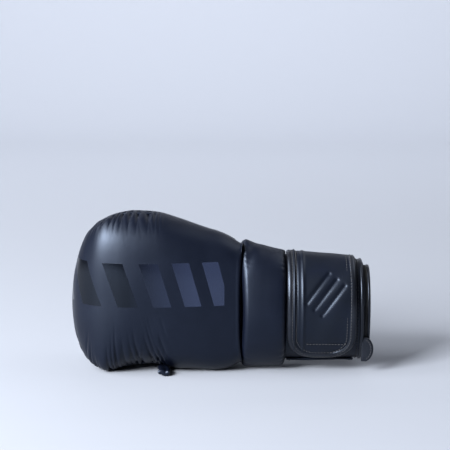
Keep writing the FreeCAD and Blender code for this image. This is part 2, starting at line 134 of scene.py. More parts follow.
def normals(grid, wrapRows=False, wrapCols=False):
    # cross product of the two differences, made one long
    return unit(np.cross(steps(grid, 0, wrapRows), steps(grid, 1, wrapCols)))


def edgeDistance(sheet):
    # distance along a sheet to its nearest edge
    nearest = []
    for axis in (0, 1):
        step = np.linalg.norm(np.diff(sheet, axis=axis), axis=2)
        start = np.insert(np.cumsum(step, axis), 0, 0, axis)
        nearest.append(np.minimum(start, np.take(start, [-1], axis) - start))
    return np.minimum(nearest[0], nearest[1])


def roundEdge(distance, radius):
    # quarter circle from 0 at the edge to 1 at the radius
    return np.sqrt(np.clip(1 - (1 - np.clip(distance / radius, 0, 1)) ** 2, 0, 1))


def gridIndex(rows, cols, ringRows=False, ringCols=False):
    # point numbers of a grid; a ring has its first row or column again at the end
    index = np.arange(rows * cols).reshape(rows, cols)
    if ringCols:
        index = np.concatenate([index, index[:, :1]], 1)
    if ringRows:
        index = np.concatenate([index, index[:1]])
    return index


def quadsOf(index):
    # one quad for each cell of a grid of point numbers
    return np.stack([index[:-1, :-1], index[1:, :-1], index[1:, 1:], index[:-1, 1:]], -1).reshape(-1, 4)


handTaper = dict(share=0.075, back=-14, palm=34, wristFrom=14, wristTo=36)


def taper(points):
    # the hand is narrower at the palm than at its back: heights shrink towards the palm, not at the wrist
    points = np.array(points, float)
    depth = np.clip((points[:, 1] - handTaper["back"]) / (handTaper["palm"] - handTaper["back"]), 0, 1)
    near, far = handTaper["wristFrom"], handTaper["wristTo"]
    hand = np.clip((far - points[:, 0]) / (far - near), 0, 1)
    points[:, 2] *= 1 - handTaper["share"] * depth * hand * hand * (3 - 2 * hand)
    return points


def makePiece(name, points, quads, uv=None, caps=()):
    # points and faces put into a mesh, with an optional UV map that is in metres along the sheet
    mesh = bpy.data.meshes.new(name)
    mesh.from_pydata((taper(points) * mm).tolist(), [], quads.tolist() + list(caps))
    mesh.polygons.foreach_set("use_smooth", np.ones(len(mesh.polygons), dtype=bool))
    if uv is not None:
        layer = mesh.uv_layers.new(name="UVMap")
        corner = np.empty(len(mesh.loops), dtype=np.int32)
        mesh.loops.foreach_get("vertex_index", corner)
        layer.data.foreach_set("uv", (np.asarray(uv)[corner] * mm).ravel())
    mesh.validate()
    piece = bpy.data.objects.new(name, mesh)
    bpy.context.scene.collection.objects.link(piece)
    return piece


def pillow(name, sheet, up, down):
    # a sheet raised and lowered along its normal, with one shared border: both heights are 0 there
    rows, cols = sheet.shape[:2]
    normal = normals(sheet)
    top = sheet + normal * up[..., None]
    under = sheet - normal * down[..., None]
    top[[0, -1]] = sheet[[0, -1]]
    top[:, [0, -1]] = sheet[:, [0, -1]]
    points = np.concatenate([top.reshape(-1, 3), under[1:-1, 1:-1].reshape(-1, 3)])
    above = gridIndex(rows, cols)
    below = above.copy()
    below[1:-1, 1:-1] = rows * cols + np.arange((rows - 2) * (cols - 2)).reshape(rows - 2, cols - 2)
    quads = np.concatenate([quadsOf(above), quadsOf(below)[:, ::-1]])
    lengths = sheetLengths(sheet)
    uv = np.concatenate([lengths.reshape(-1, 2), lengths[1:-1, 1:-1].reshape(-1, 2)])
    return makePiece(name, points, quads, uv)


def sheetLengths(sheet):
    # distance along the rows and along the columns, which is the sheet's own UV map
    down = np.insert(np.cumsum(np.linalg.norm(np.diff(sheet, axis=0), axis=2), 0), 0, 0, 0)
    across = np.insert(np.cumsum(np.linalg.norm(np.diff(sheet, axis=1), axis=2), 1), 0, 0, 1)
    down = down.mean(1, keepdims=True) + 0 * down
    across = across.mean(0, keepdims=True) + 0 * across
    return np.stack([down, across], -1)


def panelPiece(name, sheet, thick, edge, rise=None):
    # a sewn panel: even thickness, round edges, and an optional height of its own
    fade = roundEdge(edgeDistance(sheet), edge)
    extra = 0 if rise is None else rise
    return pillow(name, sheet, (thick / 2 + extra) * fade, thick / 2 * fade)


def sleevePiece(name, outer, thick):
    # a tube with a wall: the outside rows, then the inside rows backwards, closed into a ring
    inner = outer - normals(outer, wrapCols=True) * thick
    lip = (outer[[0, -1]] + inner[[0, -1]]) / 2
    lip += unit(outer[[0, -1]] - outer[[1, -2]]) * thick * 0.45
    loop = np.concatenate([lip[:1], outer, lip[1:], inner[::-1]])
    rows, cols = loop.shape[:2]
    quads = quadsOf(gridIndex(rows, cols, True, True))
    return makePiece(name, loop.reshape(-1, 3), quads, sheetLengths(loop).reshape(-1, 2))


def cordPiece(name, path, facing, high, wide, closed=False, sides=14):
    # an oval section carried along a path: high along the facing direction, wide across it
    path = np.asarray(path, float)
    tangent = unit(steps(path, 0, closed))
    facing = np.broadcast_to(np.asarray(facing, float), path.shape)
    facing = unit(facing - (facing * tangent).sum(1, keepdims=True) * tangent)
    across = np.cross(tangent, facing)
    turn = roundTurn(sides)
    size = np.ones(len(path))
    if not closed:
        run = runAlong(path)
        size = roundEdge(np.minimum(run, run[-1] - run), max(np.max(high), np.max(wide)))
        size = np.maximum(size, 0.02)
    high = np.broadcast_to(high, size.shape) * size
    wide = np.broadcast_to(wide, size.shape) * size
    ring = (path[:, None] + facing[:, None] * (high[:, None] * np.sin(turn))[..., None]
            + across[:, None] * (wide[:, None] * np.cos(turn))[..., None])
    rows = len(path)
    quads = quadsOf(gridIndex(rows, sides, closed, True))
    points = ring.reshape(-1, 3)
    if closed:
        return makePiece(name, points, quads)
    # an open cord ends in a fan of triangles round one more point at each end
    points = np.concatenate([points, path[[0, -1]]])
    side = np.arange(sides)
    after, last, start = (side + 1) % sides, (rows - 1) * sides, rows * sides + 0 * side
    fans = np.stack([start, side, after, start + 1, last + after, last + side], 1)
    return makePiece(name, points, quads, None, fans.reshape(-1, 3).tolist())


def evenly(path, pitch, closed=False, count=None):
    # points every pitch along a path, or a given number of them
    path = np.asarray(path, float)
    if closed:
        path = np.concatenate([path, path[:1]])
    run = runAlong(path)
    count = count or max(int(round(run[-1] / pitch)), 2)
    at = (np.arange(count) + 0.5) * run[-1] / count
    return np.stack([np.interp(at, run, path[:, way]) for way in range(3)], 1)


beadShape = dict(along=(-1, -0.8, 0, 0.8, 1), girth=(0.15, 0.8, 1, 0.8, 0.15), sides=6, share=0.36)


def stitchPiece(name, path, facing, pitch=3.2, closed=False, thick=0.42):
    # one small oval bead for each stitch, lying along the path and half sunk in the leather
    path = np.asarray(path, float)
    facing = np.broadcast_to(np.asarray(facing, float), path.shape)
    spots = evenly(path, pitch, closed)
    lift = evenly(path + facing, pitch, closed, len(spots)) - spots
    tangent = unit(steps(spots, 0, closed))
    lift = unit(lift - (lift * tangent).sum(1, keepdims=True) * tangent)
    across = np.cross(tangent, lift)
    along, girth = np.array(beadShape["along"]), np.array(beadShape["girth"])
    rings, sides = len(along), beadShape["sides"]
    turn = roundTurn(sides)
    bead = (tangent[:, None, None] * (along * pitch * beadShape["share"])[None, :, None, None]
            + lift[:, None, None] * (girth[:, None] * np.sin(turn) * thick)[None, ..., None]
            + across[:, None, None] * (girth[:, None] * np.cos(turn) * thick)[None, ..., None])
    points = (spots[:, None, None] + bead).reshape(-1, 3)
    one = gridIndex(rings, sides)
    offsets = (np.arange(len(spots)) * rings * sides)[:, None, None]
    quads = (quadsOf(gridIndex(rings, sides, False, True))[None] + offsets).reshape(-1, 4)
    caps = (np.stack([one[0], one[-1][::-1]])[None] + offsets).reshape(-1, sides)
    return makePiece(name, points, quads, None, caps.tolist())


def finishPiece(piece, body, slot, material, *nodes):
    # a finished piece rides one body, and may stand for CAD nodes
    piece.data.materials.append(material)
    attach(piece, body)
    if nodes:
        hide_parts(*nodes)
    return piece


# finishes: node groups give masks, heights and colours, each material keeps its own shader


def newGroup(name, inputs, outputs):
    # an empty node group with named sockets, and its two end nodes
    group = bpy.data.node_groups.new(name, "ShaderNodeTree")
    for label, kind, value in inputs:
        socket = group.interface.new_socket(name=label, in_out="INPUT", socket_type=kind)
        if value is not None:
            socket.default_value = value
    for label, kind in outputs:
        group.interface.new_socket(name=label, in_out="OUTPUT", socket_type=kind)
    return group, group.nodes.new("NodeGroupInput"), group.nodes.new("NodeGroupOutput")


def addNode(tree, kind, **values):
    # a node with its settings, or else its sockets, given by name
    node = tree.nodes.new(kind)
    for label, value in values.items():
        if hasattr(node, label):
            setattr(node, label, value)
        else:
            node.inputs[label.replace("_", " ")].default_value = value
    return node


def mathNode(tree, operation, first, second=None):
    # one sum of two values, each a number or a socket
    node = tree.nodes.new("ShaderNodeMath")
    node.operation = operation
    for slot, value in enumerate((first, second)):
        if value is None:
            continue
        if isinstance(value, (int, float)):
            node.inputs[slot].default_value = value
        else:
            tree.links.new(value, node.inputs[slot])
    return node.outputs[0]


def mixColour(tree, amount, first, second):
    # from the first colour to the second as the amount goes from 0 to 1
    node = tree.nodes.new("ShaderNodeMix")
    node.data_type = "RGBA"
    for socket, value in ((node.inputs[0], amount), (node.inputs[6], first), (node.inputs[7], second)):
        if isinstance(value, (int, float, tuple)):
            socket.default_value = value
        else:
            tree.links.new(value, socket)
    return node.outputs[2]


groupResults = [("Colour", "NodeSocketColor"), ("Roughness", "NodeSocketFloat"),
                ("Height", "NodeSocketFloat")]


def buildLeatherGroup():
    # soft pebbles between fine creases, with slow patches of paler leather that are partly handling wear and
    # partly painted sheen
    group, start, end = newGroup(
        "leatherGrain",
        [("Vector", "NodeSocketVector", None), ("Pebbles", "NodeSocketFloat", 900.0),
         ("Colour", "NodeSocketColor", (0.02, 0.02, 0.03, 1)),
         ("Worn", "NodeSocketColor", (0.04, 0.04, 0.05, 1)),
         ("Roughness", "NodeSocketFloat", 0.5), ("Variation", "NodeSocketFloat", 0.1)],
        groupResults)
    link = group.links.new
    sway = addNode(group, "ShaderNodeTexNoise", Scale=260.0, Detail=3.0)
    link(start.outputs["Vector"], sway.inputs["Vector"])
    pebble = addNode(group, "ShaderNodeTexVoronoi", feature="SMOOTH_F1", Smoothness=0.55, Randomness=0.9)
    link(start.outputs["Vector"], pebble.inputs["Vector"])
    link(start.outputs["Pebbles"], pebble.inputs["Scale"])
    fine = addNode(group, "ShaderNodeTexNoise", Scale=2600.0, Detail=2.0)
    link(start.outputs["Vector"], fine.inputs["Vector"])
    patch = addNode(group, "ShaderNodeTexNoise", Scale=34.0, Detail=5.0, Roughness=0.62)
    link(start.outputs["Vector"], patch.inputs["Vector"])
    # the paler patches stand partly for wear and partly for painted sheen
    wornAndSheen = mathNode(group, "SMOOTH_MIN", mathNode(group, "MULTIPLY", mathNode(
        group, "SUBTRACT", patch.outputs["Fac"], 0.46), 3.2), 1.0)
    wornAndSheen = mathNode(group, "MAXIMUM", wornAndSheen, 0.0)
    height = mathNode(group, "ADD", mathNode(group, "MULTIPLY", pebble.outputs["Distance"], -0.8),
                      mathNode(group, "MULTIPLY", sway.outputs["Fac"], 0.7))
    height = mathNode(group, "ADD", height, mathNode(group, "MULTIPLY", fine.outputs["Fac"], 0.25))
    uneven = mathNode(group, "MULTIPLY", mathNode(group, "SUBTRACT", patch.outputs["Fac"], 0.5),
                      start.outputs["Variation"])
    link(mixColour(group, wornAndSheen, start.outputs["Colour"], start.outputs["Worn"]), end.inputs["Colour"])
    link(mathNode(group, "ADD", start.outputs["Roughness"], uneven), end.inputs["Roughness"])
    link(height, end.inputs["Height"])
    return group


def buildClothGroup():
    # parallel ribs crossed by short knitted loops, over thin fuzz
    group, start, end = newGroup(
        "ribbedCloth",
        [("Vector", "NodeSocketVector", None), ("Ribs", "NodeSocketFloat", 700.0),
         ("Colour", "NodeSocketColor", (0.02, 0.02, 0.03, 1)),
         ("Pale", "NodeSocketColor", (0.05, 0.05, 0.06, 1))], groupResults)
    link = group.links.new
    rib = addNode(group, "ShaderNodeTexWave", wave_type="BANDS", bands_direction="X", Distortion=0.4,
                  Detail=1.0)
    loop = addNode(group, "ShaderNodeTexWave", wave_type="BANDS", bands_direction="Y", Distortion=0.6,
                   Detail=1.0)
    fuzz = addNode(group, "ShaderNodeTexNoise", Scale=3200.0, Detail=3.0)
    for texture in (rib, loop, fuzz):
        link(start.outputs["Vector"], texture.inputs["Vector"])
    link(start.outputs["Ribs"], rib.inputs["Scale"])
    link(mathNode(group, "MULTIPLY", start.outputs["Ribs"], 1.6), loop.inputs["Scale"])
    weave = mathNode(group, "ADD", mathNode(group, "MULTIPLY", rib.outputs["Fac"], 0.75),
                     mathNode(group, "MULTIPLY", loop.outputs["Fac"], 0.25))
    height = mathNode(group, "ADD", weave, mathNode(group, "MULTIPLY", fuzz.outputs["Fac"], 0.3))
    link(mixColour(group, weave, start.outputs["Colour"], start.outputs["Pale"]), end.inputs["Colour"])
    link(mathNode(group, "ADD", mathNode(group, "MULTIPLY", fuzz.outputs["Fac"], 0.2), 0.72),
         end.inputs["Roughness"])
    link(height, end.inputs["Height"])
    return group


leatherGroup = buildLeatherGroup()
clothGroup = buildClothGroup()


def startMaterial(name, recipe):
    # a material with its shader, texture coordinates and one bump
    material = bpy.data.materials.new(name)
    material.use_nodes = True
    tree = material.node_tree
    shader = tree.nodes["Principled BSDF"]
    for label, value in recipe.get("shader", {}).items():
        shader.inputs[label].default_value = value
    place = tree.nodes.new("ShaderNodeTexCoord")
    relief = addNode(tree, "ShaderNodeBump", Strength=recipe.get("strength", 0.5), Distance=recipe["depth"])
    tree.links.new(relief.outputs["Normal"], shader.inputs["Normal"])
    return material, tree, shader, place, relief


def placeGroup(tree, group, vector, **values):
    # a shared group with this material's own values
    node = tree.nodes.new("ShaderNodeGroup")
    node.node_tree = group
    tree.links.new(vector, node.inputs["Vector"])
    for label, value in values.items():
        node.inputs[label].default_value = value
    return node


def leatherMaterial(name, recipe):
    # grained leather, with printed bars where the recipe has them; the bars carry a painted reflection
    material, tree, shader, place, relief = startMaterial(name, recipe)
    grain = placeGroup(tree, leatherGroup, place.outputs["Object"], Pebbles=recipe["pebbles"],
                       Colour=recipe["colour"], Worn=recipe["wornAndSheen"], Roughness=recipe["roughness"],
                       Variation=recipe["variation"])
    colour, roughness, height = (grain.outputs[label] for label in ("Colour", "Roughness", "Height"))
    if "print" in recipe:
        ink = recipe["print"]
        mask, along = printMask(tree, place.outputs["UV"], ink)
        # painted reflection: the bars are pale bluish near the wrist and deepen to near black towards the
        # front roll
        pale, reflectionFadeLength = ink["fade"]
        fade = mathNode(tree, "DIVIDE", mathNode(tree, "SUBTRACT", along, pale), reflectionFadeLength)
        fade = mathNode(tree, "MINIMUM", mathNode(tree, "MAXIMUM", fade, 0.0), 1.0)
        colour = mixColour(tree, mask, colour, mixColour(tree, fade, ink["colour"], ink["darkReflection"]))
        gloss = mathNode(tree, "MULTIPLY", mask, recipe["roughness"] - ink["roughness"])
        roughness = mathNode(tree, "SUBTRACT", roughness, gloss)
        # the ink fills three quarters of the grain's depth
        calm = mathNode(tree, "SUBTRACT", 1.0, mathNode(tree, "MULTIPLY", mask, 0.75))
        height = mathNode(tree, "ADD", mathNode(tree, "MULTIPLY", height, calm),
                          mathNode(tree, "MULTIPLY", mask, 0.5))
    tree.links.new(colour, shader.inputs["Base Color"])
    tree.links.new(roughness, shader.inputs["Roughness"])
    tree.links.new(height, relief.inputs["Height"])
    return material


def printMask(tree, vector, ink):
    # slanted bars: the length along the pad, sheared by the height across it, read inside a band; the length
    # is handed back too, for the fade of the bars' painted reflection
    split = tree.nodes.new("ShaderNodeSeparateXYZ")
    tree.links.new(vector, split.inputs[0])
    along, across = split.outputs[0], split.outputs[1]
    sheared = mathNode(tree, "ADD", along, mathNode(tree, "MULTIPLY", across, ink["shear"]))
    phase = mathNode(tree, "FRACT", mathNode(tree, "DIVIDE", sheared, ink["pitch"]))
    bar = mathNode(tree, "LESS_THAN", phase, ink["share"])
    for value, low, high in ((along, *ink["along"]), (across, *ink["across"])):
        bar = mathNode(tree, "MULTIPLY", bar, mathNode(tree, "GREATER_THAN", value, low))
        bar = mathNode(tree, "MULTIPLY", bar, mathNode(tree, "LESS_THAN", value, high))
    return bar, along


def clothMaterial(name, recipe):
    # ribbed cloth, tape or thread
    material, tree, shader, place, relief = startMaterial(name, recipe)
    weave = placeGroup(tree, clothGroup, place.outputs[recipe.get("space", "UV")], Ribs=recipe["ribs"],
                       Colour=recipe["colour"], Pale=recipe["pale"])
    tree.links.new(weave.outputs["Colour"], shader.inputs["Base Color"])
    tree.links.new(weave.outputs["Roughness"], shader.inputs["Roughness"])
    tree.links.new(weave.outputs["Height"], relief.inputs["Height"])
    return material


leatherLook = dict(colour=(0.0003, 0.0009, 0.0040, 1), wornAndSheen=(0.0008, 0.0016, 0.0056, 1), roughness=0.44,
                   variation=0.10, pebbles=1150.0, depth=0.00020, strength=0.30,
                   shader={"Specular IOR Level": 0.30, "Specular Tint": (0.64, 0.77, 1, 1)})
# the print's colour is a painted reflection: pale bluish near the wrist, fading to near black towards the
# front roll
printWithReflectionLook = dict(colour=(0.012, 0.016, 0.032, 1), darkReflection=(0.0006, 0.0009, 0.0018, 1), fade=(0.055, 0.06),
                 roughness=0.16, pitch=0.0290, share=0.56, shear=-0.30, along=(0.026, 0.170),
                 across=(0.068, 0.109))
coverLeather = leatherMaterial("coverLeather", leatherLook)
knuckleLeather = leatherMaterial("knuckleLeather", dict(leatherLook, print=printWithReflectionLook))
strapLook = dict(leatherLook, colour=(0.0015, 0.0022, 0.0045, 1), roughness=0.40, pebbles=1500.0,
                 variation=0.08)
strapLeather = leatherMaterial("strapLeather", strapLook)
# the trim's patches are much paler: partly wear, partly painted sheen that brightens the bindings
trimLook = dict(leatherLook, colour=(0.0035, 0.0039, 0.0055, 1), wornAndSheen=(0.0100, 0.0112, 0.0145, 1),
                roughness=0.30, pebbles=2100.0, depth=0.00012, variation=0.14)
trimLeather = leatherMaterial("trimLeather", trimLook)
threadLook = dict(colour=(0.0080, 0.0090, 0.0120, 1), pale=(0.0175, 0.0190, 0.0240, 1), ribs=1500.0,
                  depth=0.00008, strength=0.5, space="Object")
sewingThread = clothMaterial("sewingThread", threadLook)
liningLook = dict(colour=(0.0037, 0.0040, 0.0053, 1), pale=(0.0105, 0.0115, 0.0145, 1), ribs=300.0,
                  depth=0.00035, strength=0.8, shader={"Sheen Weight": 0.08, "Sheen Roughness": 0.5})
ribbedLining = clothMaterial("ribbedLining", liningLook)
loopLook = dict(colour=(0.0050, 0.0050, 0.0060, 1), pale=(0.0175, 0.0180, 0.0210, 1), ribs=1250.0,
                depth=0.0007, strength=1.0, shader={"Sheen Weight": 0.12, "Sheen Roughness": 0.6})
loopPile = clothMaterial("loopPile", loopLook)
hookLook = dict(colour=(0.0030, 0.0030, 0.0035, 1), pale=(0.0150, 0.0150, 0.0170, 1), ribs=520.0,
                depth=0.0009, strength=1.0)
hookTape = clothMaterial("hookTape", hookLook)
print("finishes made:", len(bpy.data.materials))

# knuckle pad: leather over foam, from the wrist round the knuckles into the front roll
# an outer and an inner line as seen from the side, a top and a low edge as seen from the back

padSizes = dict(
    rows=330, ring=250, seam=0.30, crown=2.9, softCrown=2.15, flat=6.5, curl=0.42, curlEnd=0.5, curlPower=9,
    curlSeam=8, wristRound=4, rollRound=9, endRows=12,
    stations=(0, 0.15, 0.32, 0.47, 0.59, 0.68, 0.78, 0.90, 1),
    outer=((13, -41), (-25, -47.5), (-62, -51.6), (-97, -50.2), (-121, -42), (-136, -27.5), (-142.8, -8),
           (-143.8, 16), (-141, 36)),
    inner=((16, -24), (-25, -22.5), (-62, -21.2), (-92, -20.5), (-106, -16), (-113.5, -5), (-116, 8),
           (-116.5, 24), (-118.5, 36)),
    top=((-143.8, 84), (-142.5, 97), (-138, 113), (-130, 128.5), (-120, 139.5), (-108, 147.4), (-92, 152.6),
         (-74, 153.2), (-58, 151.6), (-42, 147), (-16, 138), (3, 131.5), (17, 123.5)),
    low=((-143.8, 38), (-142.5, 26), (-138, 15.5), (-130, 8), (-119, 2.6), (-108, 1.0), (-95, 2.4),
         (-78, 5.6), (-62, 5.4), (-50, 2.4), (-25, 1.0), (-4, 0.4), (8, 3.2), (17, 8)),
)
# gathers along the two long seams: where they run, how they fade, and how far they reach into the leather
lowShortPleats = dict(span=(-134, -56), soft=22, reach=13, power=1.4, deep=2.6, pitch=6.2, seed=3)
lowLongPleats = dict(span=(-136, -52), soft=20, power=3, deep=2.3, pitch=7.4, seed=11)
topShortPleats = dict(span=(-120, -60), soft=20, reach=8.5, power=1.6, deep=2.6, pitch=6.6, seed=5)
topLongPleats = dict(span=(-134, -58), soft=26, reach=14, power=2, deep=0.55, pitch=10.5, seed=19)
rollPleats = dict(span=(24, 124), soft=16, reach=13, deep=1.5, pitch=7.0, seed=23)


def padEdge(which, along):
    # the height of the pad's top or low edge along the hand
    return through(padSizes[which], along)


def padRing():
    # one section: b runs -1 to 1 across the hand, the depth from 0 on the inner face to 1 on the outer,
    # as a superellipse on each side of the seam
    crown, flat, seam = padSizes["crown"], padSizes["flat"], padSizes["seam"]
    turn = np.linspace(0, np.pi, 800)
    b = -np.cos(turn)
    outward = seam + (1 - seam) * (1 - np.abs(b) ** crown) ** (1 / crown)
    inward = seam - seam * (1 - np.abs(b) ** flat) ** (1 / flat)
    across = np.concatenate([b, b[::-1][1:-1]])
    depth = np.concatenate([outward, inward[::-1][1:-1]])
    halfWidth, thickness = 74, 30
    ring = np.stack([across * halfWidth, depth * thickness], 1)
    closed = np.concatenate([ring, ring[:1]])
    run = runAlong(closed)
    at = np.arange(padSizes["ring"]) * run[-1] / padSizes["ring"]
    across = np.interp(at, run, np.append(across, across[0]))
    depth = np.interp(at, run, np.append(depth, depth[0]))
    outerLength = run[len(b) - 1]
    return across, depth, at, outerLength


def padLines(u):
    # the outer and the inner line, by the share u of the way from wrist to roll
    outer = smoothThrough(padSizes["stations"], padSizes["outer"], u)
    inner = smoothThrough(padSizes["stations"], padSizes["inner"], u)
    return outer, inner


def padSurface(across, depth, run, outerLength):
    # rows from the wrist to the front roll; both end rows close up, along a curve of their own
    rows, ends = padSizes["rows"], padSizes["endRows"]
    turn = np.linspace(0, 1, ends)
    u = np.concatenate([np.zeros(ends - 1), np.linspace(0, 1, rows), np.ones(ends - 1)])
    outer, inner = padLines(u)
    shrink = np.ones(len(u))
    shrink[:ends - 1] = (1 - (1 - turn[:-1]) ** 4) ** 0.25
    shrink[-(ends - 1):] = np.cos(np.pi / 2 * turn[1:])
    shift = np.zeros((len(u), 2))
    shift[:ends - 1, 0] = padSizes["wristRound"] * (1 - turn[:-1])
    shift[-(ends - 1):, 1] = padSizes["rollRound"] * np.sin(np.pi / 2 * turn[1:])
    middle = inner + (outer - inner) * 0.5
    # behind the knuckles the back is rounder: a lower power on the outer side of the seam
    curled = 1 - bump(u, padSizes["curlEnd"], 9, 0.2)
    power = padSizes["crown"] + (padSizes["softCrown"] - padSizes["crown"]) * curled[:, None]
    seam = padSizes["seam"]
    crowned = seam + (1 - seam) * (1 - np.minimum(np.abs(across), 1)[None] ** power) ** (1 / power)
    depthHere = np.where((run <= outerLength)[None], crowned, depth[None])
    # and both long edges curl round the hand, with a high power of the distance across
    bent = depthHere - padSizes["curl"] * curled[:, None] * np.abs(across)[None] ** padSizes["curlPower"]
    side = inner[:, None] + (outer - inner)[:, None] * bent[..., None]
    side = middle[:, None] + (side - middle[:, None]) * shrink[:, None, None] + shift[:, None]
    low, top = padEdge("low", side[..., 0]), padEdge("top", side[..., 0])
    height = (low + top) / 2 + (top - low) / 2 * across[None] * (0.97 + 0.03 * shrink[:, None])
    return np.concatenate([side, height[..., None]], 2), curled


def gathers(recipe, along, run, away, slant, reach):
    # creases across a seam: seam length sets the phase, distance from the seam sets the depth
    fade = bump(along, *recipe["span"], recipe["soft"]) * np.exp(-np.abs(away / reach) ** recipe["power"])
    return recipe["deep"] * fade * (1 - pleat(run + slant * away, recipe["pitch"], recipe["seed"]))


def padGathers(grid, curled, across, depth, run, outerLength):
    # how deep the leather is drawn in at each point: short and long creases by each long seam
    lowSeam, topSeam = grid[:, 0], grid[:, np.argmax(across)]
    lowRun, topRun = runAlong(lowSeam)[:, None], runAlong(topSeam)[:, None]
    onOuter = (run <= outerLength)[None]
    tucked = padSizes["curlSeam"] * curled[:, None]
    offPad = 400.0
    fromLow = np.where(onOuter, np.maximum(run[None] - tucked, 0), offPad)
    fromTop = np.where(onOuter, np.maximum(outerLength - run[None] - tucked, 0), offPad)
    lowAlong, topAlong = lowSeam[:, :1], topSeam[:, :1]
    dent = gathers(lowShortPleats, lowAlong, lowRun, fromLow, 0.12, lowShortPleats["reach"])
    # the long creases fan out: they lean one way near the roll and the other way behind it
    fan = 0.5 - 0.9 * np.clip((lowAlong + 132) / 70, 0, 1)
    dent = dent + gathers(lowLongPleats, lowAlong, lowRun, fromLow, fan, 31 + 7 * ripple(lowRun, 14, 8))
    dent = dent + gathers(topShortPleats, topAlong, topRun, fromTop, 0, topShortPleats["reach"])
    dent = dent + gathers(topLongPleats, topAlong, topRun, fromTop, 0.2, topLongPleats["reach"])
    # the roll is gathered into its own seam, across the hand
    fromRoll = np.maximum(lowRun[-1] - lowRun, 0)
    inside = (depth < padSizes["seam"] + 0.25)[None]
    height = grid[..., 2]
    fade = np.exp(-(fromRoll / rollPleats["reach"]) ** 2) * inside
    fade = fade * bump(height, *rollPleats["span"], rollPleats["soft"])
    dent = dent + rollPleats["deep"] * fade * (1 - pleat(height, rollPleats["pitch"], rollPleats["seed"]))
    return dent, lowRun


def buildKnucklePad():
    # the padded surface, moved along its normal by slow ripples less the gathers
    across, depth, run, outerLength = padRing()
    grid, curled = padSurface(across, depth, run, outerLength)
    facing = normals(grid, wrapCols=True)
    outside = (facing * (grid - grid.mean(1, keepdims=True))).sum() > 0
    facing = facing if outside else -facing
    dent, lowRun = padGathers(grid, curled, across, depth, run, outerLength)
    soft = 0.35 * ripple(grid[..., 0] + 0.4 * grid[..., 2], 70, 2) * bump(np.abs(across)[None], -1, 0.9, 0.2)
    grid = grid + facing * (soft - dent)[..., None]
    grid[..., 2] = np.maximum(grid[..., 2], 0.05)
    quads = quadsOf(gridIndex(*grid.shape[:2], False, True))
    quads = quads if outside else quads[:, ::-1]
    uv = np.stack([lowRun + 0 * grid[..., 0], grid[..., 2]], -1).reshape(-1, 2)
    return weld(makePiece("knucklePad", grid.reshape(-1, 3), quads, uv))


def weld(piece, distance=0.00002):
    # points closer than a fiftieth of a millimetre become one
    work = bmesh.new()
    work.from_mesh(piece.data)
    bmesh.ops.remove_doubles(work, verts=work.verts, dist=distance)
    bmesh.ops.dissolve_degenerate(work, edges=work.edges, dist=distance)
    bmesh.ops.recalc_face_normals(work, faces=work.faces)
    work.to_mesh(piece.data)
    work.free()
    return piece


knucklePad = finishPiece(buildKnucklePad(), "hand", "cover_leather", knuckleLeather, "knuckle_cover",
                         "knuckle_foam", "front_roll_foam")
print("knuckle pad made")

# hand shell: side panels, lining, and the palm face with its four finger openings

handSizes = dict(
    rollSeam=(-118.5, 35), fingerEdge=(-107, 26), fingerEnd=-114.5, wristEnd=14, indexEnd=-57,
    thick=2.4, clear=1.9, palmRise=1.8, palmHeight=25.3, palmFall=2.6, tuck=-22.5, palmSide=25.5,
    thumbSide=11.5,
    fingers=dict(little=(6, 34, -68), ring=(44.5, 77.5, -68), middle=(81, 109, -68), index=(120, 147, -78)),
    holeFront=-106, holeRound=10.5, bindHigh=2.0, bindWide=1.9,
)


def palmHeight(x, z):
    # the palm face: highest along its middle, falling away as the eighth power towards both sides
    low, top = padEdge("low", x), padEdge("top", x)
    t = (z - (low + top) / 2) / ((top - low) / 2)
    return handSizes["palmHeight"] + handSizes["palmRise"] * (1 - t**2) - handSizes["palmFall"] * t**8


def sidePanel(name, which, xEnds, palmEdge, node):
    # rows run out from under the knuckle pad to the palm, following the pad's own edge
    x, y = np.meshgrid(np.linspace(*xEnds, 120), np.linspace(handSizes["tuck"], palmEdge, 40))
    inward = 1 if which == "low" else -1
    fold = np.clip((y - palmEdge + 9) / 9, 0, 1) ** 2 * 2.2
    z = padEdge(which, x) + inward * (handSizes["clear"] + fold + 0.35 * ripple(x, 17, len(name)))
    sheet = np.stack([x, y, z], -1)
    if which == "top":
        sheet = sheet.transpose(1, 0, 2)
    panel = panelPiece(name, sheet, handSizes["thick"], 2.2)
    finishPiece(panel, "hand", "cover_leather", coverLeather, node)


fingerEnd, indexEnd, wristEnd = (handSizes[end] for end in ("fingerEnd", "indexEnd", "wristEnd"))
sidePanel("littleFingerSide", "low", (fingerEnd, wristEnd), handSizes["palmSide"], "little_finger_side_panel")
sidePanel("indexFingerSide", "top", (fingerEnd, indexEnd), handSizes["palmSide"], "index_finger_side_panel")
sidePanel("thumbSide", "top", (indexEnd - 1, wristEnd), handSizes["thumbSide"], "thumb_side_panel")


handLining = dict(
    rows=130, cols=120, ends=(-112, 15), corner=13, gap=3.4, palmRim=24, thick=1.1, edge=0.5,
    back=((-112, -6), (-106, -18), (-92, -19.3), (-62, -20), (-25, -21.3), (15, -22.8)),
    rim=((-112, 24), (-60, 24), (-54, 11), (15, 11)), slant=0.2, slantFrom=23,
)


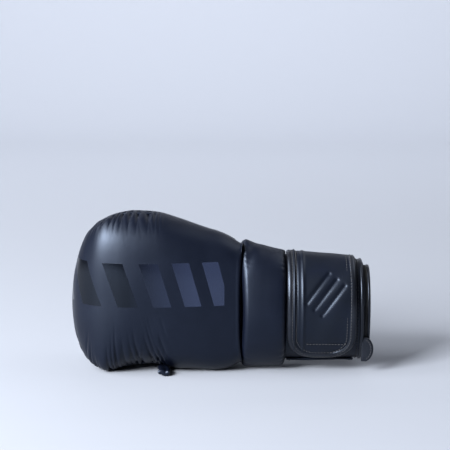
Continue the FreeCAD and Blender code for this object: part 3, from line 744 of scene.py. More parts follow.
def buildHandLining():
    # a trough of cloth: down from the thumb side, round two quarter circles, and out at the little finger
    corner, gap, clothEnd = handLining["corner"], handLining["gap"], handLining["ends"][1]
    x = np.linspace(*handLining["ends"], handLining["rows"])
    back, rim = through(handLining["back"], x), through(handLining["rim"], x)
    low, top = padEdge("low", x) + gap, padEdge("top", x) - gap
    # the cloth's width is shared out as rim 0.2, corner 0.1, back 0.4, corner 0.1, rim 0.2
    t = np.linspace(0, 1, handLining["cols"])[None]
    side = np.clip(1 - t / 0.2, 0, 1)
    turn = np.clip((t - 0.2) / 0.1, 0, 1) * np.pi / 2
    across = np.clip((t - 0.3) / 0.4, 0, 1)
    backTurn = np.clip((t - 0.7) / 0.1, 0, 1) * np.pi / 2
    out = np.clip((t - 0.8) / 0.2, 0, 1)
    y = (back + corner)[:, None] + side * (rim - back - corner)[:, None] - corner * np.sin(turn)
    y = y + corner * (1 - np.cos(backTurn)) + out * (handLining["palmRim"] - back - corner)[:, None]
    z = top[:, None] - corner * (1 - np.cos(turn)) - corner * np.sin(backTurn)
    z = z - across * (top - low - 2 * corner)[:, None]
    sheet = np.stack([np.broadcast_to(x[:, None], y.shape), y, z], -1)
    sheet[..., 1] += 0.5 * ripple(sheet[..., 0] + 0.5 * sheet[..., 2], 26, 4) * across * (1 - across) * 4
    # the wrist end slants back towards the palm, clear of the cuff when the wrist bends
    near = np.clip(sheet[..., 0] / clothEnd, 0, 1)
    sheet[..., 0] -= handLining["slant"] * near * (sheet[..., 1] + handLining["slantFrom"])
    return panelPiece("handLining", sheet, handLining["thick"], handLining["edge"])


finishPiece(buildHandLining(), "hand", "lining_cloth", ribbedLining, "hand_lining")

# the slanted padded strip between the front roll and the finger openings, gathered along the roll's seam
innerFace = dict(rows=220, cols=26, thick=2.6, puff=2.2, pitch=8.5, margin=2.6, endRound=12, endDrop=5)


def buildInnerFace():
    # a flat strip between two straight seams, puffed as a sine and creased across
    z, t = crossed(np.linspace(0, 1, innerFace["rows"]), np.linspace(0, 1, innerFace["cols"]))
    (rollX, rollY), (edgeX, edgeY) = handSizes["rollSeam"], handSizes["fingerEdge"]
    x = rollX + (edgeX - rollX) * t
    low, top = padEdge("low", x) + innerFace["margin"], padEdge("top", x) - innerFace["margin"]
    z = low + (top - low) * z
    bend = np.clip(np.minimum(z - low, top - z) / innerFace["endRound"], 0, 1)
    y = rollY + (edgeY - rollY) * t - innerFace["endDrop"] * (1 - bend) ** 2
    crease = 1 - pleat(z + 3 * t, innerFace["pitch"], 31)
    puff = innerFace["puff"] * np.sin(np.pi * t) ** 0.6 - 1.3 * crease * (1 - 0.6 * t)
    return panelPiece("innerFace", np.stack([x, y, z], -1), innerFace["thick"], 1.6, puff)


finishPiece(buildInnerFace(), "hand", "cover_leather", coverLeather, "inner_face_panel")


def roundedLoop(xLow, xHigh, zLow, zHigh, radius, count=140):
    # a rectangle with round corners, as points at even steps
    corners = []
    for cx, cz, start in ((xHigh - radius, zHigh - radius, 0), (xLow + radius, zHigh - radius, 0.5),
                          (xLow + radius, zLow + radius, 1), (xHigh - radius, zLow + radius, 1.5)):
        turn = np.pi * (start + np.linspace(0, 0.5, 12))
        corners.append(np.stack([cx + radius * np.cos(turn), 0 * turn, cz + radius * np.sin(turn)], 1))
    return evenly(np.concatenate(corners), 1, True, count)


def buildFingerOpening(finger, zLow, zHigh, xBack):
    # a cord round a rounded rectangle on the palm face, sagging at the knuckles, and a row of thread
    loop = roundedLoop(handSizes["holeFront"], xBack, zLow, zHigh, handSizes["holeRound"])
    x, z = loop[:, 0], loop[:, 2]
    sway = 0.7 * ripple(np.arange(len(x)) * 1.0, 37, len(finger))
    sag = 2.6 * np.exp(-((x - handSizes["holeFront"]) / 12) ** 2)
    loop[:, 1] = palmHeight(x, z) + 0.6 + sag + sway * 0.4
    high, wide = handSizes["bindHigh"] + 0.25 * sway, handSizes["bindWide"]
    binding = cordPiece(finger + "FingerBinding", loop, (0, 1, 0), high, wide, True, 16)
    finishPiece(binding, "hand", "trim_leather", trimLeather, finger + "_finger_binding")
    outward = unit(loop - loop.mean(0))
    outward[:, 1] = 0
    row = loop + outward * 2.6 + (0, 1.0, 0)
    thread = stitchPiece(finger + "FingerStitches", row, (0, 1, 0), 3.4, True, 0.38)
    finishPiece(thread, "hand", "thread", sewingThread)


for finger, (zLow, zHigh, xBack) in handSizes["fingers"].items():
    buildFingerOpening(finger, zLow, zHigh, xBack)


# each divider: its name, low and high edges, wrist end, fullness and CAD node
dividers = (("littleRingDivider", 34, 44.5, -66, 4.6, "little_ring_divider"),
            ("ringMiddleDivider", 77.5, 81, -66, 3.0, "ring_middle_divider"),
            ("middleIndexDivider", 109, 120, -70, 4.8, "middle_index_divider"))
dividerSizes = dict(front=-108.5, fullest=-100, taper=22, thick=3.0, overlap=0.9, pitch=6.5)
bartackSizes = dict(first=-104.3, step=0.75, rows=5, overlap=0.3, lift=2.2, crown=4.0, high=0.45, wide=0.36)


def buildDivider(name, zLow, zHigh, xBack, puff, node):
    # a long soft finger of leather between two openings, fullest near the knuckles
    z, x = crossed(packed(26), packed(90))
    x = dividerSizes["front"] + (xBack - dividerSizes["front"]) * x
    half = (zHigh - zLow) / 2 + dividerSizes["overlap"]
    z = (zLow + zHigh) / 2 + half * (2 * z - 1)
    full = np.exp(-((x - dividerSizes["fullest"]) / dividerSizes["taper"]) ** 2)
    sheet = np.stack([x, palmHeight(x, z) + 1.5 * full, z], -1)
    dent = 0.9 * (1 - pleat(x + 0.5 * z, dividerSizes["pitch"], len(node))) * (1 - 0.5 * full)
    divider = panelPiece(name, sheet, dividerSizes["thick"], half, puff * (0.55 + 0.45 * full) - dent)
    finishPiece(divider, "hand", "cover_leather", coverLeather, node)


for divider in dividers:
    buildDivider(*divider)


def buildBartacks():
    # dense short rows of thread across the root of each divider
    lift, crown, over = (bartackSizes[label] for label in ("lift", "crown", "overlap"))
    tacks = []
    for divider in dividers:
        zLow, zHigh = divider[1:3]
        for row in range(bartackSizes["rows"]):
            x = bartackSizes["first"] + bartackSizes["step"] * row
            z = np.linspace(zLow - over, zHigh + over, 12)
            inset = np.minimum(z - z[0], z[-1] - z)
            y = palmHeight(x, z) + lift + crown * roundEdge(inset, (z[-1] - z[0]) / 2)
            path = np.stack([x + 0 * z, y, z], 1)
            tack = cordPiece("bartack", path, (0, 1, 0), bartackSizes["high"], bartackSizes["wide"], False, 8)
            tacks.append(tack)
    return joinPieces("dividerBartacks", tacks)


def joinPieces(name, parts):
    # several meshes made one
    work = bmesh.new()
    for part in parts:
        work.from_mesh(part.data)
        bpy.data.objects.remove(part)
    mesh = bpy.data.meshes.new(name)
    work.to_mesh(mesh)
    work.free()
    piece = bpy.data.objects.new(name, mesh)
    bpy.context.scene.collection.objects.link(piece)
    return piece


finishPiece(buildBartacks(), "hand", "thread", sewingThread, "divider_bartacks")

# the band across the palm, creased by use, and the folded hem along its wrist side
palmBand = dict(
    edge=((1.5, -47.5), (42, -44), (87, -56), (120, -64), (148.5, -70)),
    rows=200, cols=80, thick=2.6, round=1.8, low=1.2, wide=147.4,
    front=-67.5, stepAt=115, stepBack=10, stepSoft=2.5,
    hemWide=2.6, hemHigh=2.1, hemEnds=(1.6, 148.2), hemRows=(-3.4, -1.1, 1.2),
)


def bandEdge(z):
    # how far along the hand the band's wrist side lies
    return through(palmBand["edge"], z)


def buildPalmBand():
    # the palm face between a stepped front edge and the band's wrist side, creased both ways
    z, t = crossed(packed(palmBand["rows"], 0.3), packed(palmBand["cols"], 0.3))
    z = palmBand["low"] + palmBand["wide"] * z
    # beside the index finger the front edge steps back towards the knuckles
    step = 1 / (1 + np.exp(-(z - palmBand["stepAt"]) / palmBand["stepSoft"]))
    front = palmBand["front"] - palmBand["stepBack"] * step
    x = front + (bandEdge(z) + 2 - front) * t
    y = palmHeight(x, z)
    crease = 1 - pleat(z + 0.5 * x, 11, 41)
    cross = 1 - pleat(x + 0.25 * z, 8.5, 43)
    relief = 0.5 * np.sin(np.pi * t) - 1.1 * crease * (1 - t) ** 1.2 - 0.8 * cross * bump(t, 0.15, 0.9, 0.2)
    relief += 0.45 * ripple(z - 0.4 * x, 16, 47)
    return panelPiece("palmBand", np.stack([x, y, z], -1), palmBand["thick"], palmBand["round"], relief)


finishPiece(buildPalmBand(), "hand", "cover_leather", coverLeather, "palm_band")


def buildBandHem():
    # a cord along the band's wrist side, with three rows of thread beside it
    z = np.linspace(*palmBand["hemEnds"], 150)
    x = bandEdge(z) + 1.6
    path = np.stack([x, palmHeight(x, z) + 0.2, z], 1)
    path[:, 1] += 0.25 * ripple(z, 13, 3)
    hem = cordPiece("palmBandHem", path, (0, 1, 0), palmBand["hemHigh"], palmBand["hemWide"], False, 18)
    finishPiece(hem, "hand", "trim_leather", trimLeather, "palm_band_hem")
    rows = [stitchPiece("hemRow", path + (side, 1.75, 0), (0, 1, 0), 3.2) for side in palmBand["hemRows"]]
    finishPiece(joinPieces("palmHemStitches", rows), "hand", "thread", sewingThread)


buildBandHem()


# which edge, which way is inward, and where the cord by the pad and the cord on the palm begin and end
pipingRuns = (("low", 1, (-112, 13), (-113.5, -49)), ("top", -1, (-112, 13), (-113.5, -71)))
pipingSizes = dict(padY=-13.5, padInset=0.9, padLift=0.6, palmInset=3.2, palmLift=0.4)


def buildSidePiping():
    # a fine cord along each seam between the pad and its side panels, and along both palm edges
    padCords, palmCords = [], []
    for which, side, padEnds, palmEnds in pipingRuns:
        x = np.linspace(*padEnds, 110)
        z = padEdge(which, x) + side * pipingSizes["padInset"] + side * pipingSizes["padLift"]
        path = np.stack([x, pipingSizes["padY"] + 0 * x, z], 1)
        padCords.append(cordPiece("padPiping", path, (0, 0, -side), 1.0, 1.1))
        x = np.linspace(*palmEnds, 80)
        z = padEdge(which, x) + side * pipingSizes["palmInset"]
        path = np.stack([x, palmHeight(x, z) + pipingSizes["palmLift"], z], 1)
        palmCords.append(cordPiece("palmPiping", path, (0, 1, -side), 1.5, 1.5))
    return joinPieces("sideSeamPiping", padCords + palmCords)


finishPiece(buildSidePiping(), "hand", "trim_leather", trimLeather)


edgeSizes = dict(ends=(-50, 15), inset=3.6, y=26.4, thumbInset=4,
                 thumb=((-69, 24.5), (-57, 23), (-52, 12.5), (13, 12)))


def buildPalmEdge():
    # the bound edges of both sides of the palm, from the palm band to the wrist
    x = np.linspace(*edgeSizes["ends"], 70)
    z = padEdge("low", x) + edgeSizes["inset"] + 0.3 * ripple(x, 18, 9)
    path = np.stack([x, edgeSizes["y"] + 0 * x, z], 1)
    binding = cordPiece("palmEdgeBinding", path, (0, 1, 0), 2.0, 2.1)
    finishPiece(binding, "hand", "trim_leather", trimLeather, "palm_edge_binding")
    x = np.linspace(edgeSizes["thumb"][0][0], edgeSizes["thumb"][-1][0], 80)
    path = np.stack([x, through(edgeSizes["thumb"], x), padEdge("top", x) - edgeSizes["thumbInset"]], 1)
    binding = cordPiece("thumbSideBinding", path, (0, 1, 0.4), 1.8, 1.9)
    finishPiece(binding, "hand", "trim_leather", trimLeather)


buildPalmEdge()


sideTuck = dict(corner=(-60, -45, 3.4), long=10.5, wide=24, thick=5.4, edge=2.7)


def buildSideTuck():
    # the folded end of the palm band, tacked down under the pad on the little finger side
    t, s = crossed(packed(30), packed(30))
    x, y, z = sideTuck["corner"]
    x = x + sideTuck["long"] * s + 1.0 * np.sin(6 * t)
    y = y + sideTuck["wide"] * t
    z = z + 0.9 * np.sin(np.pi * s * 2.4) * (1 - t)
    tuck = panelPiece("sideTuck", np.stack([x, y, z], -1), sideTuck["thick"], sideTuck["edge"])
    finishPiece(tuck, "hand", "cover_leather", coverLeather)


buildSideTuck()
print("hand shell made")

# thumb: a wrinkled sleeve with its lining, end hem, inner piping and two padded cushions

thumbSizes = dict(
    stations=(-58, -22, 12), centreY=(34, 33, 31), centreZ=(124, 114.5, 105.5), halfY=(12.4, 13.4, 13.4),
    halfZ=(17, 18.6, 17), tip=-51, root=6, thick=2.6,
    hemRows=(2.9, 5.2), valleyRows=(-23.6, -20.6), valleyTurn=(112, 232), pipingTurn=258, ruffleTurn=267,
    tipPad=dict(name="thumbTipPad", x=(-48.5, -24.2), angle=(112, 226), puff=5.8, node="thumb_tip_pad"),
    basePad=dict(name="thumbBasePad", x=(-20, 5.5), angle=(112, 226), puff=5.4, node="thumb_base_pad"),
)


def thumbPoint(x, angle, out=0.0):
    # an oval about the thumb's axis: angle 0 faces the back of the hand, 90 degrees the thumb side
    read = {label: smoothThrough(thumbSizes["stations"], thumbSizes[label], x)
            for label in ("centreY", "centreZ", "halfY", "halfZ")}
    y = read["centreY"] - (read["halfY"] + out) * np.cos(angle)
    z = read["centreZ"] + (read["halfZ"] + out) * np.sin(angle)
    return np.stack(np.broadcast_arrays(x, y, z), -1)


def buildThumbSleeve():
    # the thumb's oval, less creases round it and along it, and a smooth oval inside it
    tip, root = thumbSizes["tip"], thumbSizes["root"]
    x, angle = crossed(np.linspace(tip, root, 100), roundTurn(150))
    away = np.cos(angle) * 0.5 + 0.5
    crease = (1 - pleat(x + 9 * np.sin(angle), 9.5, 61)) * (0.35 + 0.65 * away)
    lengthwise = (1 - pleat(angle * 16 + 0.2 * x, 11, 67)) * (0.3 + 0.7 * away)
    out = 0.5 * ripple(x + 8 * angle, 21, 71) - 1.1 * crease - 0.6 * lengthwise
    sleeve = sleevePiece("thumbSleeve", thumbPoint(x, angle, out), thumbSizes["thick"])
    finishPiece(sleeve, "thumb", "cover_leather", coverLeather, "thumb_sleeve")
    x, angle = crossed(np.linspace(tip + 1, root - 1, 40), roundTurn(80))
    lining = sleevePiece("thumbLining", thumbPoint(x, angle, -3.9), 0.9)
    finishPiece(lining, "thumb", "lining_cloth", ribbedLining, "thumb_lining")


buildThumbSleeve()


def buildThumbTrim():
    # the hem and its stitches, the rows in the valley between the cushions, and the inner piping
    angle = roundTurn(120)
    tip = thumbPoint(thumbSizes["tip"] - 0.6 + 0 * angle, angle, -0.8)
    facing = unit(tip - tip.mean(0))
    hem = cordPiece("thumbHem", tip, facing, 2.1, 2.4, True, 16)
    finishPiece(hem, "thumb", "trim_leather", trimLeather, "thumb_hem")
    rows = [stitchPiece("hemRow", tip + facing * 1.2 + (step, 0, 0), facing, 3.2, True)
            for step in thumbSizes["hemRows"]]
    angle = np.linspace(*np.radians(thumbSizes["valleyTurn"]), 60)
    for x in thumbSizes["valleyRows"]:
        row = thumbPoint(x + 0 * angle, angle, 0.2)
        rows.append(stitchPiece("valleyRow", row, row - thumbPoint(x + 0 * angle, angle, -5), 2.8))
    finishPiece(joinPieces("thumbStitches", rows), "thumb", "thread", sewingThread)
    x = np.linspace(-49, 6, 120)
    path = thumbPoint(x, np.radians(thumbSizes["pipingTurn"]) + 0.03 * ripple(x, 15, 13), 0.6)
    piping = cordPiece("thumbEdgePiping", path, (0, 0, -1), 1.5, 1.5, False, 14)
    finishPiece(piping, "thumb", "trim_leather", trimLeather, "thumb_edge_piping")
    x, t = crossed(np.linspace(-48, 5, 200), np.linspace(0, 1, 14))
    wave = np.radians(thumbSizes["ruffleTurn"]) + np.radians(7) * t * ripple(x, 8, 29)
    ruffle = panelPiece("thumbRuffle", thumbPoint(x, wave, -1 + 5.2 * t), 1.5, 1.0)
    finishPiece(ruffle, "thumb", "cover_leather", coverLeather)


buildThumbTrim()


def roundSquare(rows, cols, corner):
    # a square grid from -1 to 1 with its corners drawn in: each axis shrinks with the square of the other
    a, b = crossed(2 * packed(rows, 0.4) - 1, 2 * packed(cols, 0.4) - 1)
    return a * np.sqrt(1 - corner * b**2 / 2), b * np.sqrt(1 - corner * a**2 / 2)


def buildThumbPad(name, x, angle, puff, node):
    # a cushion on the sleeve: a steep and a slow quarter circle from its edge, wrinkled by the seam
    a, b = roundSquare(80, 110, 0.62)
    along, turn = spanAt(x, a), np.radians(spanAt(angle, b))
    sheet = thumbPoint(along, turn, 0.2)
    distance = edgeDistance(sheet)
    dome = 0.72 * roundEdge(distance, 3.2) + 0.28 * roundEdge(distance, 14)
    wrinkle = (1 - pleat(along * 0.6 + 24 * turn, 7.5, 83)) * np.exp(-(distance / 3.4) ** 2)
    rise = puff * dome - 0.9 * wrinkle + 0.22 * ripple(along + 14 * turn, 17, 89)
    pad = pillow(name, sheet, np.where(distance > 0, rise, 0), 0.5 * roundEdge(distance, 2))
    finishPiece(pad, "thumb", "cover_leather", coverLeather, node)


for pad in ("tipPad", "basePad"):
    buildThumbPad(**thumbSizes[pad])


def buildThumbWeb():
    # soft leather between the thumb side of the hand and the thumb's sleeve, slack in its middle
    x, t = crossed(np.linspace(-26, 13, 70), np.linspace(0, 1, 40))
    hand = np.stack([x, 9 + 0 * x, padEdge("top", x) - 2.6], -1)
    thumb = thumbPoint(x, np.radians(68) + 0 * x, -0.6)
    sheet = hand + (thumb - hand) * t[..., None]
    sheet[..., 2] -= 3.0 * np.sin(np.pi * t) + 0.7 * ripple(x + 3 * t, 12, 91) * np.sin(np.pi * t)
    web = panelPiece("thumbWeb", sheet, 2.0, 1.2)
    web.data.materials.append(coverLeather)
    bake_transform(web)


buildThumbWeb()
print("thumb made")

# cuff: sleeve with a slanted front edge, lining, end binding and the padded wrist panel

cuffSizes = dict(start=10, end=145, centreY=-6, centreZ=(61, 56), halfY=(34, 31), halfZ=(53, 47),
                 side=(-52, -24, 46), front=(25, 20, 35), cover=132, lining=138.6, wall=6.0,
                 binding=131.4, endRow=127.6, rim=138.4, heelTurn=(93, 262), heelRow=4.2)


def cuffPoint(x, angle, out=0.0):
    # an oval tapering to the wrist: angle 0 faces the back of the hand, 90 degrees the thumb side
    share = (x - cuffSizes["start"]) / (cuffSizes["end"] - cuffSizes["start"])
    (zOne, zTwo), (yOne, yTwo) = cuffSizes["centreZ"], cuffSizes["halfY"]
    upOne, upTwo = cuffSizes["halfZ"]
    y = cuffSizes["centreY"] - (yOne + (yTwo - yOne) * share + out) * np.cos(angle)
    z = zOne + (zTwo - zOne) * share + (upOne + (upTwo - upOne) * share + out) * np.sin(angle)
    return np.stack(np.broadcast_arrays(x, y, z), -1)


def cuffFront(angle, out=0.0):
    # how far along the slanted front edge lies at each angle
    side = cuffPoint(cuffSizes["start"] + 0 * angle, angle, out)[..., 1]
    return smoothThrough(cuffSizes["side"], cuffSizes["front"], side)


def buildCuff():
    # the sleeve, its lining, and the bindings and stitches along both ends
    t, angle = crossed(np.linspace(0, 1, 90), roundTurn(220))
    x = cuffFront(angle) + (cuffSizes["cover"] - cuffFront(angle)) * t
    out = 0.35 * ripple(x + 20 * np.sin(angle), 30, 101)
    out = out - 0.5 * (1 - pleat(x + 6 * np.sin(3 * angle), 17, 103))
    sleeve = sleevePiece("cuffSleeve", cuffPoint(x, angle, out), cuffSizes["wall"] - 0.2)
    finishPiece(sleeve, "cuff", "cover_leather", coverLeather, "cuff_cover", "cuff_foam")
    x = cuffFront(angle) + 1 + (cuffSizes["lining"] - cuffFront(angle) - 1) * t
    out = -cuffSizes["wall"] + 1.2 * bump(x, 134, 150, 4) + 0.25 * ripple(10 * angle, 9, 107)
    lining = sleevePiece("cuffLining", cuffPoint(x, angle, out), 1.1)
    finishPiece(lining, "cuff", "lining_cloth", ribbedLining, "cuff_lining")
    turn = roundTurn(160)
    end = cuffPoint(cuffSizes["binding"] + 0 * turn, turn, -0.6)
    facing = unit(end - end.mean(0))
    binding = cordPiece("cuffEndBinding", end, facing, 1.9, 1.8, True, 16)
    finishPiece(binding, "cuff", "trim_leather", trimLeather, "cuff_end_binding")
    rows = [stitchPiece("endRow", cuffPoint(cuffSizes["endRow"] + 0 * turn, turn, 0.25), facing, 3.2, True)]
    rim = cuffPoint(cuffSizes["rim"] + 0 * turn, turn, -cuffSizes["wall"] + 0.6)
    hem = cordPiece("cuffLiningHem", rim, facing, 1.3, 1.5, True, 14)
    finishPiece(hem, "cuff", "trim_leather", trimLeather)
    heel = np.radians(np.linspace(*cuffSizes["heelTurn"], 150))
    edge = cuffPoint(cuffFront(heel), heel, -1.8)
    out = unit(edge - edge.mean(0))
    binding = cordPiece("heelBinding", edge, out, 3.4, 2.0, False, 18)
    finishPiece(binding, "cuff", "trim_leather", trimLeather)
    row = cuffPoint(cuffFront(heel) + cuffSizes["heelRow"], heel, 0.25)
    rows.append(stitchPiece("heelRow", row, out, 3.2))
    finishPiece(joinPieces("cuffStitches", rows), "cuff", "thread", sewingThread)


buildCuff()


wristCushion = dict(halfTurn=86, end=60.4, overhang=2.6, flare=8.0, puff=8.2, foldAt=27)


def buildWristPanel():
    # a padded cushion over the back of the wrist: round towards both seams, with a fold by the thumb
    end, halfTurn = wristCushion["end"], wristCushion["halfTurn"]
    t, s = crossed(packed(90, 0.5), packed(200, 0.35))
    angle = np.radians(-halfTurn + 2 * halfTurn * s)
    front = cuffFront(angle) - wristCushion["overhang"]
    x = front + (end - front) * t
    flare = np.clip(np.sin(angle), 0, 1) ** 2 * (1 - t) ** 1.5
    sheet = cuffPoint(x, angle, 0.2 + wristCushion["flare"] * flare)
    distance = edgeDistance(sheet)
    dome = 0.62 * roundEdge(distance, 5) + 0.38 * roundEdge(distance, 19)
    crease = (1 - pleat(58 * angle, 10, 109)) * np.exp(-((end - x) / 5) ** 2)
    pucker = (1 - pleat(58 * angle + 0.4 * x, 9, 111)) * np.exp(-((x - front) / 7) ** 2)
    pucker = pucker * np.abs(np.sin(angle)) ** 4
    fold = np.exp(-(((x - wristCushion["foldAt"]) + 14 * (1.15 - angle)) / 4.5) ** 2)
    fold = fold * bump(angle, 0.75, 1.5, 0.35)
    rise = wristCushion["puff"] * dome - 0.8 * crease - 0.9 * pucker - 0.8 * fold
    rise = rise + 0.35 * ripple(x * 0.5 + 40 * angle, 45, 113)
    panel = pillow("wristPanel", sheet, np.where(distance > 0, rise, 0), 0.6 * roundEdge(distance, 2))
    finishPiece(panel, "cuff", "cover_leather", coverLeather, "wrist_panel_cover", "wrist_panel_foam")


buildWristPanel()


def bridge(near, far, t):
    # from one edge to another: even along the hand, slow at both ends across it
    sheet = near + (far - near) * (3 * t**2 - 2 * t**3)[..., None]
    sheet[..., 0] = near[..., 0] + (far[..., 0] - near[..., 0]) * t
    return sheet


def buildWristGusset():
    # the floor of the groove between hand and cuff, sunk at its middle
    t, s = crossed(np.linspace(0, 1, 40), np.linspace(0, 1, 150))
    angle = np.radians(-142 + 252 * s)
    across, up = np.cos(angle), np.sin(angle)
    # the hand's end is a box with very round corners, and the cuff's is an oval
    near = np.stack([4 + 0 * t, 1.5 - 24 * np.sign(across) * np.abs(across) ** 0.5,
                     65 + 59 * np.sign(up) * np.abs(up) ** 0.5], -1)
    far = cuffPoint(cuffFront(angle) + 3, angle, -1.0)
    sheet = bridge(near, far, t)
    sink = 2.6 + 0.7 * ripple(40 * angle, 13, 127) + 1.4 * (1 - pleat(60 * angle, 8, 129))
    sheet = sheet - unit(sheet - (20, -4, 62)) * (sink * np.sin(np.pi * t))[..., None]
    gusset = panelPiece("wristGusset", sheet, 2.0, 1.2)
    gusset.data.materials.append(coverLeather)
    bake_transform(gusset)


buildWristGusset()


def buildThumbHeel():
    # the base of the thumb: leather from inside the sleeve's root to the cuff's front edge, in two pieces
    # that overlap in the middle
    t, s = crossed(np.linspace(0, 1, 60), np.linspace(0, 1, 90))
    thumbAngle = np.radians(40 + 190 * s)
    cuffAngle = np.radians(62 + 96 * s)
    near = thumbPoint(0 * t + 1, thumbAngle, -1.4)
    far = cuffPoint(cuffFront(cuffAngle) + 2.5, cuffAngle, -1.2)
    sheet = bridge(near, far, t)
    bulge = unit(sheet - sheet.mean(1, keepdims=True)) * np.sin(np.pi * t)[..., None]
    crease = 1 - pleat(sheet[..., 0] + 14 * s, 8, 131)
    sheet = sheet + bulge * (2.2 - 1.2 * crease)[..., None]
    for name, rows, body, start, end in (("thumbRoot", slice(0, 33), "thumb", 0.0145, 0.007),
                                         ("thumbHeel", slice(28, 60), "cuff", 0.0145, 0.027)):
        heel = panelPiece(name, sheet[rows], 2.2, 1.4)
        heel.data.materials.append(coverLeather)
        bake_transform(heel)


buildThumbHeel()
print("cuff made")

# strap: wrap round the palm side, fold over the thumb side, flap over the back of the wrist

strapSizes = dict(start=61.5, end=125.5, round=27, foot=14.5, wrapTurn=(84, 288), wrapOut=1.2, flapOut=3.9,
                  ridge=(67.2, 76), edge=3.1, rowInset=3.4, grooves=(-9, 0, 9), grooveMiddle=(97, 48))


def buildWrap():
    # the part of the strap that is sewn round the palm side of the cuff
    s, t = crossed(packed(60, 0.4), packed(200, 0.4))
    x = strapSizes["start"] + (strapSizes["end"] - strapSizes["start"]) * s
    first, last = strapSizes["wrapTurn"]
    angle = np.radians(first + (last - first) * t)
    relief = 0.25 * ripple(x + 30 * angle, 38, 137)
    wrap = panelPiece("strapWrap", cuffPoint(x, angle, strapSizes["wrapOut"]), 2.2, 1.2, relief)
    finishPiece(wrap, "cuff", "strap_leather", strapLeather, "strap_wrist_wrap")
    rows = []
    turn = np.radians(np.linspace(first + 2, last - 2, 120))
    for x in (strapSizes["start"] + strapSizes["rowInset"], strapSizes["end"] - strapSizes["rowInset"]):
        row = cuffPoint(x + 0 * turn, turn, 2.35)
        rows.append(stitchPiece("wrapRow", row, row - row.mean(0), 3.0))
    finishPiece(joinPieces("wrapStitches", rows), "cuff", "thread", sewingThread)


buildWrap()

flapMiddle = (strapSizes["start"] + strapSizes["end"]) / 2
flapHalf = (strapSizes["end"] - strapSizes["start"]) / 2


def flapAngles():
    # arc length down the back of the cuff, from the fold to the strap's foot, and its angles
    angle = np.radians(np.linspace(86, -60, 600))
    line = cuffPoint(flapMiddle, angle, strapSizes["flapOut"])
    run = runAlong(line)
    foot = np.interp(-strapSizes["foot"], -line[:, 2], run)
    return run, angle, foot


def flapPoint(x, down, out=0.0):
    # a point on the flap, by its distance down from the fold
    run, angle, foot = flapAngles()
    return cuffPoint(x, np.interp(down, run, angle), strapSizes["flapOut"] + out)


def flapWidth(down, inset=0.0):
    # half the flap's width: full, then a quarter circle round each lower corner
    foot = flapAngles()[2] - inset
    radius = strapSizes["round"] - inset
    rise = np.clip((down - (foot - radius)) / radius, 0, 1)
    return flapHalf - inset - radius * (1 - np.sqrt(np.clip(1 - rise**2, 0, 1)))


def buildFlap():
    # one closed sheet that lies round the cuff, with a ridge and a groove along its hand side
    foot = flapAngles()[2]
    t, s = crossed(np.linspace(0, 1, 210), packed(120, 0.3))
    down = foot - 0.6 - (foot - 0.6) * (1 - np.sin(np.pi / 2 * t))
    x = flapMiddle + (2 * s - 1) * (flapWidth(down, 0.6))
    sheet = flapPoint(x, down)
    ridgeOne, ridgeTwo = strapSizes["ridge"]
    relief = 1.3 * np.exp(-((x - ridgeOne - 0.6) / 1.0) ** 2) + 0.8 * np.exp(-((x - ridgeTwo) / 1.5) ** 2)
    relief -= 0.5 * np.exp(-((x - ridgeOne - 3.0) / 0.7) ** 2)
    # three plain slanted grooves pressed into the middle
    middleX, middleDown = strapSizes["grooveMiddle"]
    for shift in strapSizes["grooves"]:
        across = (x - middleX) * 0.80 + (down - middleDown) * 0.60 - shift
        along = (down - middleDown) * 0.80 - (x - middleX) * 0.60
        relief -= 0.9 * np.exp(-(across / 1.9) ** 2) * bump(along, -19, 19, 3)
    relief += 0.3 * ripple(x + 0.4 * down, 34, 139) + 0.9 * np.sin(np.pi * np.clip(down / foot, 0, 1)) ** 2
    flap = panelPiece("strapFlap", sheet.transpose(1, 0, 2)[:, ::-1], 2.0, 1.0, relief.T[:, ::-1] + 0.2)
    finishPiece(flap, "strap", "strap_leather", strapLeather, "strap_leather", "strap_core")


buildFlap()


def flapEdge(inset):
    # the flap's outline, down one side, round the foot and up the other, at one distance from its edge
    foot = flapAngles()[2] - inset
    radius, half = strapSizes["round"] - inset, flapHalf - inset
    turn = np.linspace(0, np.pi / 2, 40)
    left = np.stack([-half + 0 * turn, np.linspace(2, foot - radius, 40)], 1)
    bend = np.stack([-half + radius * (1 - np.cos(turn)), foot - radius + radius * np.sin(turn)], 1)
    one = np.concatenate([left, bend[1:]])
    other = one[::-1] * (-1, 1)
    flat = np.concatenate([one, other])
    flat = np.stack([flat[:, 0], flat[:, 1], 0 * flat[:, 0]], 1)
    flat = evenly(flat, 1, False, 260)
    return flapMiddle + flat[:, 0], flat[:, 1]


def buildFlapTrim():
    # the binding round the flap, two rows of thread inside it, one by the ridge and one across the foot
    x, down = flapEdge(strapSizes["edge"])
    path = flapPoint(x, down, 0.1)
    facing = unit(flapPoint(x, down, 4) - path)
    binding = cordPiece("strapBinding", path, facing, 2.3, 3.5, False, 18)
    finishPiece(binding, "strap", "trim_leather", trimLeather, "strap_binding")
    rows = []
    for inset, lift in ((8.2, 1.5), (4.6, 2.2)):
        x, down = flapEdge(inset)
        rows.append(stitchPiece("flapRow", flapPoint(x, down, lift), facing, 2.9, False, 0.4))
    down = np.linspace(3, flapAngles()[2] - 20, 100)
    ridgeOne, ridgeTwo = strapSizes["ridge"]
    path = flapPoint(ridgeOne + 2.6 + 0 * down, down, 1.35)
    rows.append(stitchPiece("ridgeRow", path, facing[:len(down)], 2.9, False, 0.4))
    x = np.linspace(ridgeTwo + 3, strapSizes["end"] - 8, 60)
    down = flapAngles()[2] - 19 + 0 * x
    path = flapPoint(x, down, 1.9)
    rows.append(stitchPiece("crossRow", path, flapPoint(x, down, 4) - path, 2.9, False, 0.4))
    finishPiece(joinPieces("flapStitches", rows), "strap", "thread", sewingThread)


buildFlapTrim()


